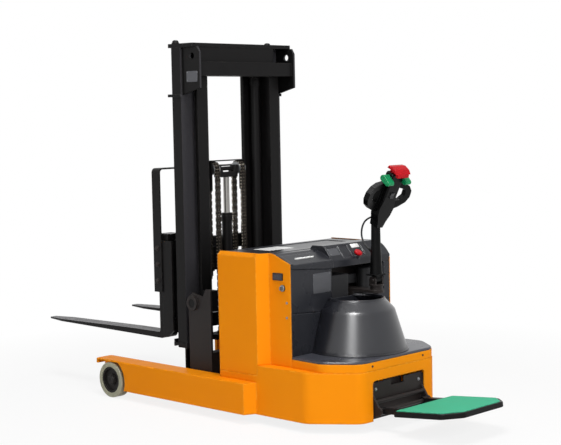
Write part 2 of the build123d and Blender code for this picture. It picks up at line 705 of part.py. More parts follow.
with BuildPart() as battery:
    block((-BULKHEAD_HALF, BULKHEAD_HALF), BATTERY_DEPTH, (FLOOR[1], TRAY_TOP))
    with Locations((0, ahead(sum(BATTERY_DEPTH) / 2), TRAY_TOP)):
        with GridLocations(*CELL_PITCH, 8, 2):
            Box(*CELL_SIZE, align=(Align.CENTER, Align.CENTER, Align.MIN))
keep(battery, "battery")

# Hydraulic unit: tank and pump motor joined by a manifold
TANK = ((-72, 92), (422, 535))
TANK_TOP = 770
TANK_EDGE = 16
PUMP_X = 282
PUMP_DEPTH = 470
PUMP_RADIUS = 50
PUMP_HIGH = 150
PUMP_ROUND = 14
MANIFOLD = ((60, PUMP_X), (500, 542), (700, 750))

with BuildPart() as hydraulic_unit:
    block(*TANK, (SHELF_TOP, TANK_TOP))
    fillet(hydraulic_unit.edges().filter_by(Axis.Z), TANK_EDGE)
    bar((PUMP_X, PUMP_DEPTH, SHELF_TOP), (0, 0, 1), PUMP_HIGH, PUMP_RADIUS)
    fillet(hydraulic_unit.edges().filter_by(GeomType.CIRCLE).sort_by(Axis.Z)[-1], PUMP_ROUND)
    block(*MANIFOLD)
keep(hydraulic_unit, "hydraulic_unit")

# Display unit and key switch on the left panel's inset face
DISPLAY_PLACE = (482, 798)
DISPLAY_SIZE = (72, 40)
DISPLAY_CORNER = 5
DISPLAY_THICK = 7
DISPLAY_EDGE = 2
KEY_DEPTH = 449
KEY_Z = 739
KEY_BARREL = 6
KEY_CLEARANCE = 0.4
KEY_COLLAR = 18
KEY_COLLAR_HIGH = 6
KEY_BOW = (9, 26)
KEY_BOW_HALF = 10
KEY_THICK = 3
KEY_ROUND = 4

with BuildPart() as display_unit:
    with BuildSketch(Plane.YZ.offset(-BODY_HALF)) as display_face:
        with Locations(side(DISPLAY_PLACE)[0]):
            Rectangle(*DISPLAY_SIZE)
        fillet(display_face.vertices(), DISPLAY_CORNER)
    extrude(amount=-DISPLAY_THICK)
    fillet(display_unit.faces().sort_by(Axis.X)[0].edges(), DISPLAY_EDGE)
    key_seat = (-BODY_HALF, KEY_DEPTH, KEY_Z)
    bar(key_seat, (-1, 0, 0), KEY_COLLAR_HIGH, KEY_COLLAR)
    bar(key_seat, (-1, 0, 0), KEY_COLLAR_HIGH, KEY_BARREL + KEY_CLEARANCE, Mode.SUBTRACT)
keep(display_unit, "display_unit")

with BuildPart() as ignition_key:
    bar((-BODY_HALF - 1, KEY_DEPTH, KEY_Z), (-1, 0, 0), KEY_BOW[0] - 1, KEY_BARREL)
    bow = (-BODY_HALF - KEY_BOW[1], -BODY_HALF - KEY_BOW[0])
    bow_thick = (KEY_DEPTH - KEY_THICK / 2, KEY_DEPTH + KEY_THICK / 2)
    block(bow, bow_thick, (KEY_Z - KEY_BOW_HALF, KEY_Z + KEY_BOW_HALF))
    fillet(ignition_key.edges().filter_by(Axis.Y).sort_by(Axis.X)[:2], KEY_ROUND)
keep(ignition_key, "ignition_key")

# Drive unit: motor, slewing plate and gear housing beside the wheel
SLEW_PLATE = (300.5, 318.5)
SLEW_PLATE_RADIUS = 118
MOTOR_RADIUS = 84
MOTOR_TOP = 548
MOTOR_ROUND = 12
NECK_LOW = 240
GEARBOX_X = (44, 94)
GEARBOX_RADIUS = 62
GEARBOX_TOP = 275
DRIVE_AXLE = 20
DRIVE_AXLE_X = (-34, 56)

with BuildPart() as drive_unit:
    bar((0, DRIVE_DEPTH, SLEW_PLATE[0]), (0, 0, 1), SLEW_PLATE[1] - SLEW_PLATE[0], SLEW_PLATE_RADIUS)
    bar((0, DRIVE_DEPTH, SLEW_PLATE[0]), (0, 0, 1), MOTOR_TOP - SLEW_PLATE[0], MOTOR_RADIUS)
    fillet(drive_unit.edges().filter_by(GeomType.CIRCLE).sort_by(Axis.Z)[-1], MOTOR_ROUND)
    bar((0, DRIVE_DEPTH, NECK_LOW), (0, 0, 1), SLEW_PLATE[1] - NECK_LOW, SLEW_RADIUS - FIT)
    with BuildSketch(Plane.YZ.offset(GEARBOX_X[0])):
        with Locations(side((DRIVE_DEPTH, DRIVE_WHEEL_RADIUS))[0]):
            Circle(GEARBOX_RADIUS)
        with Locations(side((DRIVE_DEPTH, (DRIVE_WHEEL_RADIUS + GEARBOX_TOP) / 2))[0]):
            Rectangle(2 * GEARBOX_RADIUS, GEARBOX_TOP - DRIVE_WHEEL_RADIUS)
    extrude(amount=GEARBOX_X[1] - GEARBOX_X[0])
    axle_start = (DRIVE_AXLE_X[0], DRIVE_DEPTH, DRIVE_WHEEL_RADIUS)
    bar(axle_start, (1, 0, 0), DRIVE_AXLE_X[1] - DRIVE_AXLE_X[0], DRIVE_AXLE)
keep(drive_unit, "drive_unit")

DRIVE_WHEEL_EDGE = 8
DRIVE_WHEEL_DISH = (16, 70)

with BuildPart() as drive_wheel:
    wheel_face = (-DRIVE_WHEEL_WIDTH / 2, DRIVE_DEPTH, DRIVE_WHEEL_RADIUS)
    bar(wheel_face, (1, 0, 0), DRIVE_WHEEL_WIDTH, DRIVE_WHEEL_RADIUS)
    fillet(drive_wheel.edges().filter_by(GeomType.CIRCLE), DRIVE_WHEEL_EDGE)
    bar(wheel_face, (1, 0, 0), *DRIVE_WHEEL_DISH, Mode.SUBTRACT)
    bar(wheel_face, (1, 0, 0), DRIVE_WHEEL_WIDTH, DRIVE_AXLE + FIT, Mode.SUBTRACT)
keep(drive_wheel, "drive_wheel")

# Reach cylinder: barrel flanged to the chassis front, rod fixed to the reach frame
REACH_BARREL = (500, 985)
REACH_BARREL_RADIUS = 29
REACH_BORE = (512, 967)
REACH_BORE_RADIUS = 22
REACH_FLANGE = (14, 48)
REACH_ROD_START = 520
REACH_ROD_RADIUS = 16
REACH_BEAM = (1011, 1060)

with BuildPart() as reach_barrel:
    bar((0, REACH_BARREL[0], REACH_Z), (0, 1, 0), REACH_BARREL[1] - REACH_BARREL[0], REACH_BARREL_RADIUS)
    bar((0, TUB_FRONT, REACH_Z), (0, 1, 0), *REACH_FLANGE)
    bore_run = REACH_BORE[1] - REACH_BORE[0]
    bar((0, REACH_BORE[0], REACH_Z), (0, 1, 0), bore_run, REACH_BORE_RADIUS, Mode.SUBTRACT)
    gland_run = REACH_BARREL[1] - REACH_BORE[1]
    bar((0, REACH_BORE[1], REACH_Z), (0, 1, 0), gland_run, REACH_ROD_RADIUS + FIT, Mode.SUBTRACT)
keep(reach_barrel, "reach_barrel")

with BuildPart() as reach_rod:
    bar((0, REACH_ROD_START, REACH_Z), (0, 1, 0), REACH_BEAM[0] - REACH_ROD_START, REACH_ROD_RADIUS)
keep(reach_rod, "reach_rod")

# Reach frame: side plates with pivot bosses, cross beam and two tilt cylinder bodies
TILT_X = 170
TILT_ROD_Z = 170
TILT_BODY = (1011, 1135, 30)
TILT_BORE = (1066, 1146, 22)
BEAM_Z = (100, 330)
BEAM_PLATE = 12
BEAM_END = 26
PLATE_FRONT = 1193
PLATE_NECK = ((PLATE_FRONT, 610), (1160, 660), (1075, 640), (1050, 686), (1018, 686), (REACH_BEAM[0], 679))
PIVOT_EYE = 52
PIVOT_BOSS = (14, 41)
ROLLER_AXLE = (45, 16)
ROLLER_Z = CHANNEL_LOW + ROLLER_RADIUS + 0.4
ROLLER_X = 426
ROLLER_WIDTH = 35

with BuildPart() as reach_frame:
    block((-REACH_PLATE_OUT, REACH_PLATE_OUT), REACH_BEAM, BEAM_Z)
    hollow_x = (BEAM_END - REACH_PLATE_OUT, REACH_PLATE_OUT - BEAM_END)
    hollow_z = (BEAM_Z[0] + BEAM_PLATE, BEAM_Z[1] - BEAM_PLATE)
    block(hollow_x, (REACH_BEAM[0] + BEAM_PLATE, REACH_BEAM[1]), hollow_z, Mode.SUBTRACT)
    for s in (-1, 1):
        with BuildSketch(Plane.YZ.offset(s * REACH_PLATE_IN)):
            with BuildLine():
                Polyline(
                    side((REACH_BEAM[0], BEAM_Z[0]), (PLATE_FRONT, BEAM_Z[0]), *PLATE_NECK),
                    close=True,
                )
            make_face()
            with Locations(side((PIVOT_DEPTH, PIVOT_Z))[0]):
                Circle(PIVOT_EYE)
        extrude(amount=s * (REACH_PLATE_OUT - REACH_PLATE_IN))
        bar((s * REACH_PLATE_OUT, PIVOT_DEPTH, PIVOT_Z), (s, 0, 0), *PIVOT_BOSS)
        eye_run = REACH_PLATE_OUT + PIVOT_BOSS[0] - REACH_PLATE_IN
        eye_start = (s * REACH_PLATE_IN, PIVOT_DEPTH, PIVOT_Z)
        bar(eye_start, (s, 0, 0), eye_run, PIVOT_RADIUS + FIT, Mode.SUBTRACT)
        for depth in ROLLER_DEPTHS:
            bar((s * REACH_PLATE_OUT, depth, ROLLER_Z), (s, 0, 0), *ROLLER_AXLE)
        for (start, end, radius), mode in ((TILT_BODY, Mode.ADD), (TILT_BORE, Mode.SUBTRACT)):
            bar((s * TILT_X, start, TILT_ROD_Z), (0, 1, 0), end - start, radius, mode)
keep(reach_frame, "reach_frame")

with BuildPart() as reach_rollers:
    for s in (-1, 1):
        for depth in ROLLER_DEPTHS:
            bar((s * ROLLER_X, depth, ROLLER_Z), (s, 0, 0), ROLLER_WIDTH, ROLLER_RADIUS)
            bore = ROLLER_AXLE[1] + FIT
            bar((s * ROLLER_X, depth, ROLLER_Z), (s, 0, 0), ROLLER_WIDTH, bore, Mode.SUBTRACT)
keep(reach_rollers, "reach_rollers")

# Fixed mast: channels opening outward, with trunnion blocks and pins behind them
TRUNNION_HALF = 60
TRUNNION_REAR = PIVOT_DEPTH - 35
TRUNNION_PIN = 98
TIE_THICK = 18
FOOT_TIE = (90, 300)
FOOT_PLATE = (80, 100)
FOOT_FRONT = 1300
HEAD_TIE = (1882, 1950)
TILT_ROD = (80, 10)

for name, s in SIDES:
    with BuildPart() as fixed_upright:
        with BuildSketch(Plane.XY.offset(FIXED_LOW)):
            with BuildLine():
                inner = FIXED_IN + FIXED_WEB
                Polyline(
                    plan((s * FIXED_OUT, FIXED_REAR), (s * FIXED_IN, FIXED_REAR))
                    + plan((s * FIXED_IN, FIXED_FRONT), (s * FIXED_OUT, FIXED_FRONT))
                    + plan((s * FIXED_OUT, FIXED_FRONT - FIXED_FLANGE))
                    + plan((s * inner, FIXED_FRONT - FIXED_FLANGE), (s * inner, FIXED_REAR + FIXED_FLANGE))
                    + plan((s * FIXED_OUT, FIXED_REAR + FIXED_FLANGE)),
                    close=True,
                )
            make_face()
        extrude(amount=FIXED_TOP - FIXED_LOW)
        trunnion_z = (PIVOT_Z - TRUNNION_HALF, PIVOT_Z + TRUNNION_HALF)
        block((s * FIXED_IN, s * FIXED_OUT), (TRUNNION_REAR, FIXED_REAR), trunnion_z)
        bar((s * FIXED_OUT, PIVOT_DEPTH, PIVOT_Z), (s, 0, 0), TRUNNION_PIN, PIVOT_RADIUS)
    keep(fixed_upright, f"{name}_fixed_upright")

with BuildPart() as fixed_ties:
    block((-FIXED_IN, FIXED_IN), (FIXED_REAR, FIXED_REAR + TIE_THICK), FOOT_TIE)
    block((-FIXED_IN, FIXED_IN), (FIXED_REAR, FOOT_FRONT), FOOT_PLATE)
    for s in (-1, 1):
        bar((s * TILT_X, FIXED_REAR, TILT_ROD_Z), (0, -1, 0), *TILT_ROD)
    block((-FIXED_IN, FIXED_IN), (FIXED_REAR, FIXED_REAR + TIE_THICK), HEAD_TIE)
keep(fixed_ties, "fixed_ties")

BARREL_LOW = 100
BARREL_TOP = 1880
BARREL_RADIUS = 30
BARREL_BORE = 25
BORE_LOW = 130
GLAND_LOW = 1840
ROD_RADIUS = 20

with BuildPart() as lift_barrels:
    for s in (-1, 1):
        for low, high, radius, mode in (
            (BARREL_LOW, BARREL_TOP, BARREL_RADIUS, Mode.ADD),
            (BORE_LOW, GLAND_LOW, BARREL_BORE, Mode.SUBTRACT),
            (GLAND_LOW, BARREL_TOP, ROD_RADIUS + FIT, Mode.SUBTRACT),
        ):
            bar((s * CYLINDER_X, CYLINDER_DEPTH, low), (0, 0, 1), high - low, radius, mode)
keep(lift_barrels, "lift_barrels")

# Moving mast: outer channel, tongue and guide flange in one section, with a gusset at the top and two
# collars on the outside
CHANNEL_FLANGE = 10
UPRIGHT_WEB = 12
TONGUE = (285, 297)
TONGUE_DEPTH = (1189, 1312)
GUSSET_OUT = 388
GUSSET_IN = 376
GUSSET_REAR = 1086
GUSSET_FOOT = 1778
GUSSET_LOW = 1815
GUSSET_HIGH = 2015
GUSSET_CORNER = 18
EYE = (1148, 1995)
EYE_RADIUS = 18
COLLAR_FRONT = 1331
COLLAR_REAR = 1225
COLLAR_OUT = 412
COLLAR_HALF = 8
COLLAR_HEIGHTS = (350, 1775)
BEAM_REAR = 1100
BEAM_FRONT = 1140
BEAM_LOW = 1883
BEAM_HIGH = 1962
BEAM_FLANGE = 8
BEAM_WEB = 10
BEAM_SKIRT_END = 250

for name, s in SIDES:
    web = MOVING_OUT - UPRIGHT_WEB
    with BuildPart() as moving_upright:
        with BuildSketch(Plane.XY.offset(MOVING_LOW)):
            with BuildLine():
                Polyline(
                    plan((s * MOVING_OUT, MOVING_REAR), (s * MOVING_OUT, MOVING_FRONT))
                    + plan((s * MOVING_IN, MOVING_FRONT), (s * MOVING_IN, MOVING_FRONT - CHANNEL_FLANGE))
                    + plan((s * web, MOVING_FRONT - CHANNEL_FLANGE), (s * web, MOVING_REAR + CHANNEL_FLANGE))
                    + plan((s * TONGUE[1], MOVING_REAR + CHANNEL_FLANGE), (s * TONGUE[1], TONGUE_DEPTH[1]))
                    + plan((s * TONGUE[0], TONGUE_DEPTH[1]), (s * TONGUE[0], TONGUE_DEPTH[0]))
                    + plan((s * TONGUE[1], TONGUE_DEPTH[0]), (s * TONGUE[1], MOVING_REAR)),
                    close=True,
                )
            make_face()
        extrude(amount=MOVING_TOP - MOVING_LOW)
        with BuildSketch(Plane.YZ.offset(s * GUSSET_IN)) as gusset:
            with BuildLine():
                Polyline(
                    side((GUSSET_REAR, GUSSET_LOW), (MOVING_REAR, GUSSET_FOOT), (MOVING_REAR, MOVING_TOP))
                    + side((GUSSET_REAR + GUSSET_CORNER, MOVING_TOP), (GUSSET_REAR, GUSSET_HIGH)),
                    close=True,
                )
            make_face()
            with Locations(side(EYE)[0]):
                Circle(EYE_RADIUS, mode=Mode.SUBTRACT)
        extrude(amount=s * (GUSSET_OUT - GUSSET_IN))
        for z in COLLAR_HEIGHTS:
            span = (z - COLLAR_HALF, z + COLLAR_HALF)
            block((s * MOVING_IN, s * MOVING_OUT), (MOVING_FRONT, COLLAR_FRONT), span)
            block((s * MOVING_OUT, s * COLLAR_OUT), (COLLAR_REAR, COLLAR_FRONT), span)
    keep(moving_upright, f"{name}_moving_upright")

TOP_THICK = 22
TOP_REAR = 1130
TOP_FRONT = 1340
TOP_CORNER = 14
TOP_STUD = (372, 1300)
TOP_STUD_SIZE = (14, 16)

with BuildPart() as mast_top_plate:
    with BuildSketch(Plane.XY.offset(MOVING_TOP)) as top_plan:
        with Locations((0, ahead((TOP_REAR + TOP_FRONT) / 2))):
            Rectangle(2 * MOVING_OUT, TOP_FRONT - TOP_REAR)
        fillet(top_plan.vertices(), TOP_CORNER)
    extrude(amount=TOP_THICK)
    for s in (-1, 1):
        bar((s * TOP_STUD[0], TOP_STUD[1], MOVING_TOP + TOP_THICK), (0, 0, 1), *TOP_STUD_SIZE)
keep(mast_top_plate, "mast_top_plate")

with BuildPart() as mast_rear_beam:
    with BuildSketch(Plane.YZ.offset(-GUSSET_IN)):
        with BuildLine():
            Polyline(
                side((BEAM_REAR, BEAM_LOW), (BEAM_FRONT, BEAM_LOW), (BEAM_FRONT, BEAM_LOW + BEAM_FLANGE))
                + side((BEAM_REAR + BEAM_WEB, BEAM_LOW + BEAM_FLANGE))
                + side((BEAM_REAR + BEAM_WEB, BEAM_HIGH - BEAM_FLANGE))
                + side((BEAM_FRONT, BEAM_HIGH - BEAM_FLANGE), (BEAM_FRONT, BEAM_HIGH))
                + side((BEAM_REAR, BEAM_HIGH)),
                close=True,
            )
        make_face()
    extrude(amount=2 * GUSSET_IN)
    skirt_depth = (BEAM_FRONT - BEAM_FLANGE, BEAM_FRONT)
    block((-GUSSET_IN, BEAM_SKIRT_END), skirt_depth, (BEAM_HIGH, MOVING_TOP))
keep(mast_rear_beam, "mast_rear_beam")

TIE_FRONT = 1341
TIE_LOW = 335
SEAT_TOP = 375
SEAT_LOW = 345
SEAT_REAR = 1242
SEAT_HALF = 155
KEEL_HALF = 40

with BuildPart() as mast_front_tie:
    block((-MOVING_OUT, MOVING_OUT), (COLLAR_FRONT, TIE_FRONT), (TIE_LOW, SEAT_TOP))
    block((-SEAT_HALF, SEAT_HALF), (SEAT_REAR, COLLAR_FRONT), (SEAT_LOW, SEAT_TOP))
    block((-KEEL_HALF, KEEL_HALF), (SEAT_REAR, TIE_FRONT), (TIE_LOW, SEAT_LOW))
keep(mast_front_tie, "mast_front_tie")

GUIDE_IN = 142
GUIDE_OUT = 154
GUIDE_DEPTH = (1288, 1306)
GUIDE_PLATE_REAR = 1297
GUIDE_PLATE_END = 248

with BuildPart() as crosshead_guides:
    for s in (-1, 1):
        with BuildSketch(Plane.XY.offset(SEAT_TOP)):
            with BuildLine():
                Polyline(
                    plan((s * GUIDE_IN, GUIDE_DEPTH[0]), (s * GUIDE_OUT, GUIDE_DEPTH[0]))
                    + plan((s * GUIDE_OUT, GUIDE_PLATE_REAR), (s * GUIDE_PLATE_END, GUIDE_PLATE_REAR))
                    + plan((s * GUIDE_PLATE_END, GUIDE_DEPTH[1]), (s * GUIDE_IN, GUIDE_DEPTH[1])),
                    close=True,
                )
            make_face()
        extrude(amount=MOVING_TOP - SEAT_TOP)
keep(crosshead_guides, "crosshead_guides")

ROD_LOW = 180

with BuildPart() as lift_rods:
    for s in (-1, 1):
        bar((s * CYLINDER_X, CYLINDER_DEPTH, ROD_LOW), (0, 0, 1), MOVING_TOP - ROD_LOW, ROD_RADIUS)
keep(lift_rods, "lift_rods")

# Free-lift cylinder with the crosshead, its sheaves and the leaf chains
FREE_TOP = 1080
FREE_RADIUS = 30.5
FREE_BORE = 24
FREE_BORE_LOW = 400
FREE_GLAND = 1040
FREE_ROD = 18
FREE_ROD_LOW = 560
YOKE_LOW = 1295
YOKE_HALF = 76
YOKE_DEPTH = 22
PIN_RADIUS = 12
CHEEK_OUT = 136
CHEEK_IN = 130
CHEEK_LOW = 1215
CHEEK_RADIUS = 12
CAP_LOW = 1390
CAP_THICK = 6
YOKE_TOP = SHEAVE_Z + 20
YOKE_SADDLE = YOKE_LOW + 30
SADDLE_TOP_HALF = 60
SADDLE_LOW_HALF = 40

with BuildPart() as free_lift_barrel:
    for low, high, radius, mode in (
        (SEAT_TOP, FREE_TOP, FREE_RADIUS, Mode.ADD),
        (FREE_BORE_LOW, FREE_GLAND, FREE_BORE, Mode.SUBTRACT),
        (FREE_GLAND, FREE_TOP, FREE_ROD + FIT, Mode.SUBTRACT),
    ):
        bar((0, FREE_DEPTH, low), (0, 0, 1), high - low, radius, mode)
keep(free_lift_barrel, "free_lift_barrel")

with BuildPart() as free_lift_rod:
    bar((0, FREE_DEPTH, FREE_ROD_LOW), (0, 0, 1), YOKE_LOW - FREE_ROD_LOW, FREE_ROD)
keep(free_lift_rod, "free_lift_rod")

with BuildPart() as crosshead:
    with BuildSketch(Plane.XZ.offset(-ahead(FREE_DEPTH - YOKE_DEPTH))):
        with BuildLine():
            Polyline(
                (-YOKE_HALF, YOKE_LOW), (YOKE_HALF, YOKE_LOW), (YOKE_HALF, YOKE_TOP),
                (SADDLE_TOP_HALF, YOKE_TOP), (SADDLE_LOW_HALF, YOKE_SADDLE), (-SADDLE_LOW_HALF, YOKE_SADDLE),
                (-SADDLE_TOP_HALF, YOKE_TOP), (-YOKE_HALF, YOKE_TOP), close=True,
            )
        make_face()
    extrude(amount=-2 * YOKE_DEPTH)
    bar((-CHEEK_OUT, FREE_DEPTH, SHEAVE_Z), (1, 0, 0), 2 * CHEEK_OUT, PIN_RADIUS)
    for s in (-1, 1):
        with BuildSketch(Plane.YZ.offset(s * CHEEK_IN)) as cheek:
            with Locations(side((FREE_DEPTH, (CHEEK_LOW + CAP_LOW) / 2))[0]):
                Rectangle(2 * YOKE_DEPTH, CAP_LOW - CHEEK_LOW)
            fillet(cheek.vertices().group_by(Axis.Y)[0], CHEEK_RADIUS)
        extrude(amount=s * (CHEEK_OUT - CHEEK_IN))
    cap_depth = (FREE_DEPTH - YOKE_DEPTH, FREE_DEPTH + YOKE_DEPTH)
    block((-CHEEK_OUT, CHEEK_OUT), cap_depth, (CAP_LOW, CAP_LOW + CAP_THICK))
keep(crosshead, "crosshead")

SHEAVE_IN = 80
SHEAVE_OUT = 128
SHEAVE_FLANGE = 4
GROOVE_RADIUS = CHAIN_RADIUS - CHAIN_THICK / 2 - 0.5

with BuildPart() as sheaves:
    for s in (-1, 1):
        with BuildSketch(Plane.XZ.offset(-ahead(FREE_DEPTH))):
            bore_z = SHEAVE_Z + PIN_RADIUS + FIT
            rim_z = SHEAVE_Z + CHAIN_RADIUS
            groove_z = SHEAVE_Z + GROOVE_RADIUS
            groove_x = (SHEAVE_IN + SHEAVE_FLANGE, SHEAVE_OUT - SHEAVE_FLANGE)
            with BuildLine():
                Polyline(
                    (s * SHEAVE_IN, bore_z), (s * SHEAVE_IN, rim_z), (s * groove_x[0], rim_z),
                    (s * groove_x[0], groove_z), (s * groove_x[1], groove_z), (s * groove_x[1], rim_z),
                    (s * SHEAVE_OUT, rim_z), (s * SHEAVE_OUT, bore_z), close=True,
                )
            make_face()
        revolve(axis=Axis((0, ahead(FREE_DEPTH), SHEAVE_Z), (1, 0, 0)))
keep(sheaves, "sheaves")

# Leaf chains: straight runs of plate packs that alternate in width from link to link
CHAIN_ANCHOR = 765

for name, low, depth in (
    ("rear_chains", SEAT_TOP, FREE_DEPTH - CHAIN_RADIUS),
    ("front_chains", CHAIN_ANCHOR, FREE_DEPTH + CHAIN_RADIUS),
):
    count = round((SHEAVE_Z - low) / LINK_PITCH)
    length = (SHEAVE_Z - low + (count - 1) * CHAIN_THICK) / count
    with BuildPart() as chains:
        for s in (-1, 1):
            for first, step in ((0, 0), (1, LINK_STEP)):
                with BuildSketch(Plane.YZ.offset(s * (CHAIN_IN + step))) as packs:
                    for link in range(first, count, 2):
                        z = low + link * (length - CHAIN_THICK) + length / 2
                        with Locations(side((depth, z))[0]):
                            Rectangle(CHAIN_THICK, length)
                    chamfer(packs.vertices(), LINK_CHAMFER)
                extrude(amount=s * (CHAIN_OUT - CHAIN_IN - 2 * step))
    keep(chains, name)

# Fork carriage: roller plates, two bars, chain anchors and side plates that also carry the backrest
LOW_BAR = (400, 480)
HIGH_BAR = (860, 940)
ROLLER_PLATE = (332, 340)
ROLLER_PLATE_LOW = ((1246, 705), (1350, 690), (1360, LOW_BAR[0]))
ROLLER_PLATE_TOP = 930
AXLE_DEPTH = 1268.5
AXLE_HEIGHTS = (735, 895)
STUB = (46, 9)
CARRIAGE_ROLLER = (40, 26)
ROLLER_GAP = 4
SIDE_PLATE_IN = 390
SIDE_PLATE_REAR = 1347
SIDE_PLATE_LOW = (380, 420)
SIDE_PLATE_TOP = 942
ANCHOR_X = (84, 124)
ANCHOR_REAR = 1324
ANCHOR_LOW = CHAIN_ANCHOR - 25
ANCHOR_TOP = HIGH_BAR[0] + 20
ANCHOR_RIB_X = (100, 108)
ANCHOR_RIB_REAR = 1352
ANCHOR_WEB_REAR = 1372
HOOP_REAR = 1427
HOOP_FRONT = 1494
HOOP_LOW = 640
HOOP_FOOT = 680
HOOP_THICK = 8
HOOP_RADIUS = 26

with BuildPart() as fork_carriage:
    for span in (LOW_BAR, HIGH_BAR):
        block((-MOVING_OUT, MOVING_OUT), (BAR_REAR, BAR_FRONT), span)
    for s in (-1, 1):
        with BuildSketch(Plane.YZ.offset(s * ROLLER_PLATE[0])):
            with BuildLine():
                Polyline(
                    side(*ROLLER_PLATE_LOW, (BAR_REAR, LOW_BAR[0]), (BAR_REAR, HIGH_BAR[1]))
                    + side((ROLLER_PLATE_LOW[0][0], ROLLER_PLATE_TOP)),
                    close=True,
                )
            make_face()
        extrude(amount=s * (ROLLER_PLATE[1] - ROLLER_PLATE[0]))
        for z in AXLE_HEIGHTS:
            bar((s * ROLLER_PLATE[1], AXLE_DEPTH, z), (s, 0, 0), *STUB)
        anchor_x = [s * x for x in ANCHOR_X]
        block(anchor_x, (ANCHOR_REAR, BAR_REAR), (ANCHOR_LOW, CHAIN_ANCHOR))
        rib_x = [s * x for x in ANCHOR_RIB_X]
        block(rib_x, (ANCHOR_RIB_REAR, BAR_REAR), (CHAIN_ANCHOR, ANCHOR_TOP))
        with BuildSketch(Plane.YZ.offset(s * SIDE_PLATE_IN)):
            with BuildLine():
                Polyline(
                    side((SIDE_PLATE_REAR, SIDE_PLATE_LOW[1]), (BAR_REAR, SIDE_PLATE_LOW[0]))
                    + side((BAR_FRONT, SIDE_PLATE_LOW[0]), (BAR_FRONT, HOOP_LOW), (HOOP_FRONT, HOOP_FOOT))
                    + side((HOOP_FRONT, SIDE_PLATE_TOP), (SIDE_PLATE_REAR, SIDE_PLATE_TOP)),
                    close=True,
                )
            make_face()
        extrude(amount=s * (MOVING_OUT - SIDE_PLATE_IN))
    web_x = (-ANCHOR_RIB_X[1], ANCHOR_RIB_X[1])
    block(web_x, (ANCHOR_WEB_REAR, BAR_REAR), (ANCHOR_LOW, ANCHOR_TOP))
keep(fork_carriage, "fork_carriage")

with BuildPart() as carriage_rollers:
    for s in (-1, 1):
        for z in AXLE_HEIGHTS:
            roller_start = (s * (ROLLER_PLATE[1] + ROLLER_GAP), AXLE_DEPTH, z)
            bar(roller_start, (s, 0, 0), *CARRIAGE_ROLLER)
            bar(roller_start, (s, 0, 0), CARRIAGE_ROLLER[0], STUB[1] + FIT, Mode.SUBTRACT)
keep(carriage_rollers, "carriage_rollers")

# Backrest: flat bar bent to a hoop, bolted outside the carriage's side plates
with BuildPart() as backrest:
    with BuildSketch(Plane.XZ.offset(-ahead(HOOP_REAR))) as hoop:
        for inset, mode in ((0, Mode.ADD), (HOOP_THICK, Mode.SUBTRACT)):
            half = HOOP_HALF - inset
            top = HOOP_TOP - inset
            with BuildLine():
                FilletPolyline(
                    (-half, HOOP_LOW), (-half, top), (half, top), (half, HOOP_LOW), radius=HOOP_RADIUS - inset
                )
                Line((half, HOOP_LOW), (-half, HOOP_LOW))
            make_face(mode=mode)
    extrude(amount=HOOP_REAR - HOOP_FRONT)
keep(backrest, "backrest")

# Forks: L-shaped with a rounded heel, tapering blade and hooks on the carriage bars
SHANK = 40
SHANK_TOP = 980
HOOK_LOW = 944
TIP_HALF = 22
TIP_RUN = 150
TIP_Z = (FORK_LOW + 12, FORK_LOW + 22)
TAPER_START = SHANK_REAR + 300
HOOK_REAR = BAR_REAR - 2
HEEL_RADIUS = 28
BEND_RADIUS = 16

for name, s in SIDES:
    with BuildPart() as fork:
        with BuildSketch(Plane.YZ.offset(s * FORK_X - FORK_WIDTH / 2)) as fork_side:
            heel = side((SHANK_REAR, FORK_LOW))[0]
            bend = side((SHANK_REAR + SHANK, FORK_LOW + FORK_THICK))[0]
            with BuildLine():
                Polyline(
                    [heel] + side((FORK_TIP, TIP_Z[0]), (FORK_TIP, TIP_Z[1]))
                    + side((TAPER_START, FORK_LOW + FORK_THICK)) + [bend]
                    + side((SHANK_REAR + SHANK, SHANK_TOP), (HOOK_REAR, SHANK_TOP))
                    + side((HOOK_REAR, HOOK_LOW), (SHANK_REAR, HOOK_LOW)),
                    close=True,
                )
            make_face()
            fillet(fork_side.vertices().sort_by_distance((*heel, 0))[:1], HEEL_RADIUS)
            fillet(fork_side.vertices().sort_by_distance((*bend, 0))[:1], BEND_RADIUS)
        extrude(amount=FORK_WIDTH)
        for t in (-1, 1):
            edge = s * FORK_X + t * FORK_WIDTH / 2
            corner = s * FORK_X + t * TIP_HALF
            with BuildSketch(Plane.XY.offset(FORK_LOW)):
                with BuildLine():
                    Polyline(
                        plan((edge, FORK_TIP - TIP_RUN), (corner, FORK_TIP), (edge, FORK_TIP)), close=True
                    )
                make_face()
            extrude(amount=FORK_THICK, mode=Mode.SUBTRACT)
    keep(fork, f"{name}_fork")

# Tiller: turret on the bracket, arm, head, controls and cable
head_v = (0, -sin(radians(HEAD_LEAN)), cos(radians(HEAD_LEAN)))
head_n = (0, -cos(radians(HEAD_LEAN)), -sin(radians(HEAD_LEAN)))
head_plane = Plane(origin=(TILLER_X, ahead(HEAD_DEPTH), HEAD_Z), x_dir=(1, 0, 0), z_dir=head_n)
head_side = Plane(head_plane.origin, x_dir=head_v, z_dir=(1, 0, 0))
HEAD_BASE = -90
HEAD_TOP = 240
THROTTLE_V = 208
SHAFT_RADIUS = 8
TURRET_LOW = 662
TURRET_TOP = 714
TURRET_RADIUS = 40
TURRET_SEAT = STEER_TOP + 0.5
LUG_IN = 24
LUG_THICK = 12
LUG_RADIUS = 22
LUG_LOW = TURRET_TOP - 2
TILT_PIN = 9
TILT_PIN_HALF = 40
FOOT_LOW = 764
FOOT_TOP = 772
FOOT_SIZE = (96, 72)
FOOT_CORNER = 10
SHANK_HALF = (17, 16)
BARREL_HALF = LUG_IN - 1
TILT_BARREL = 20

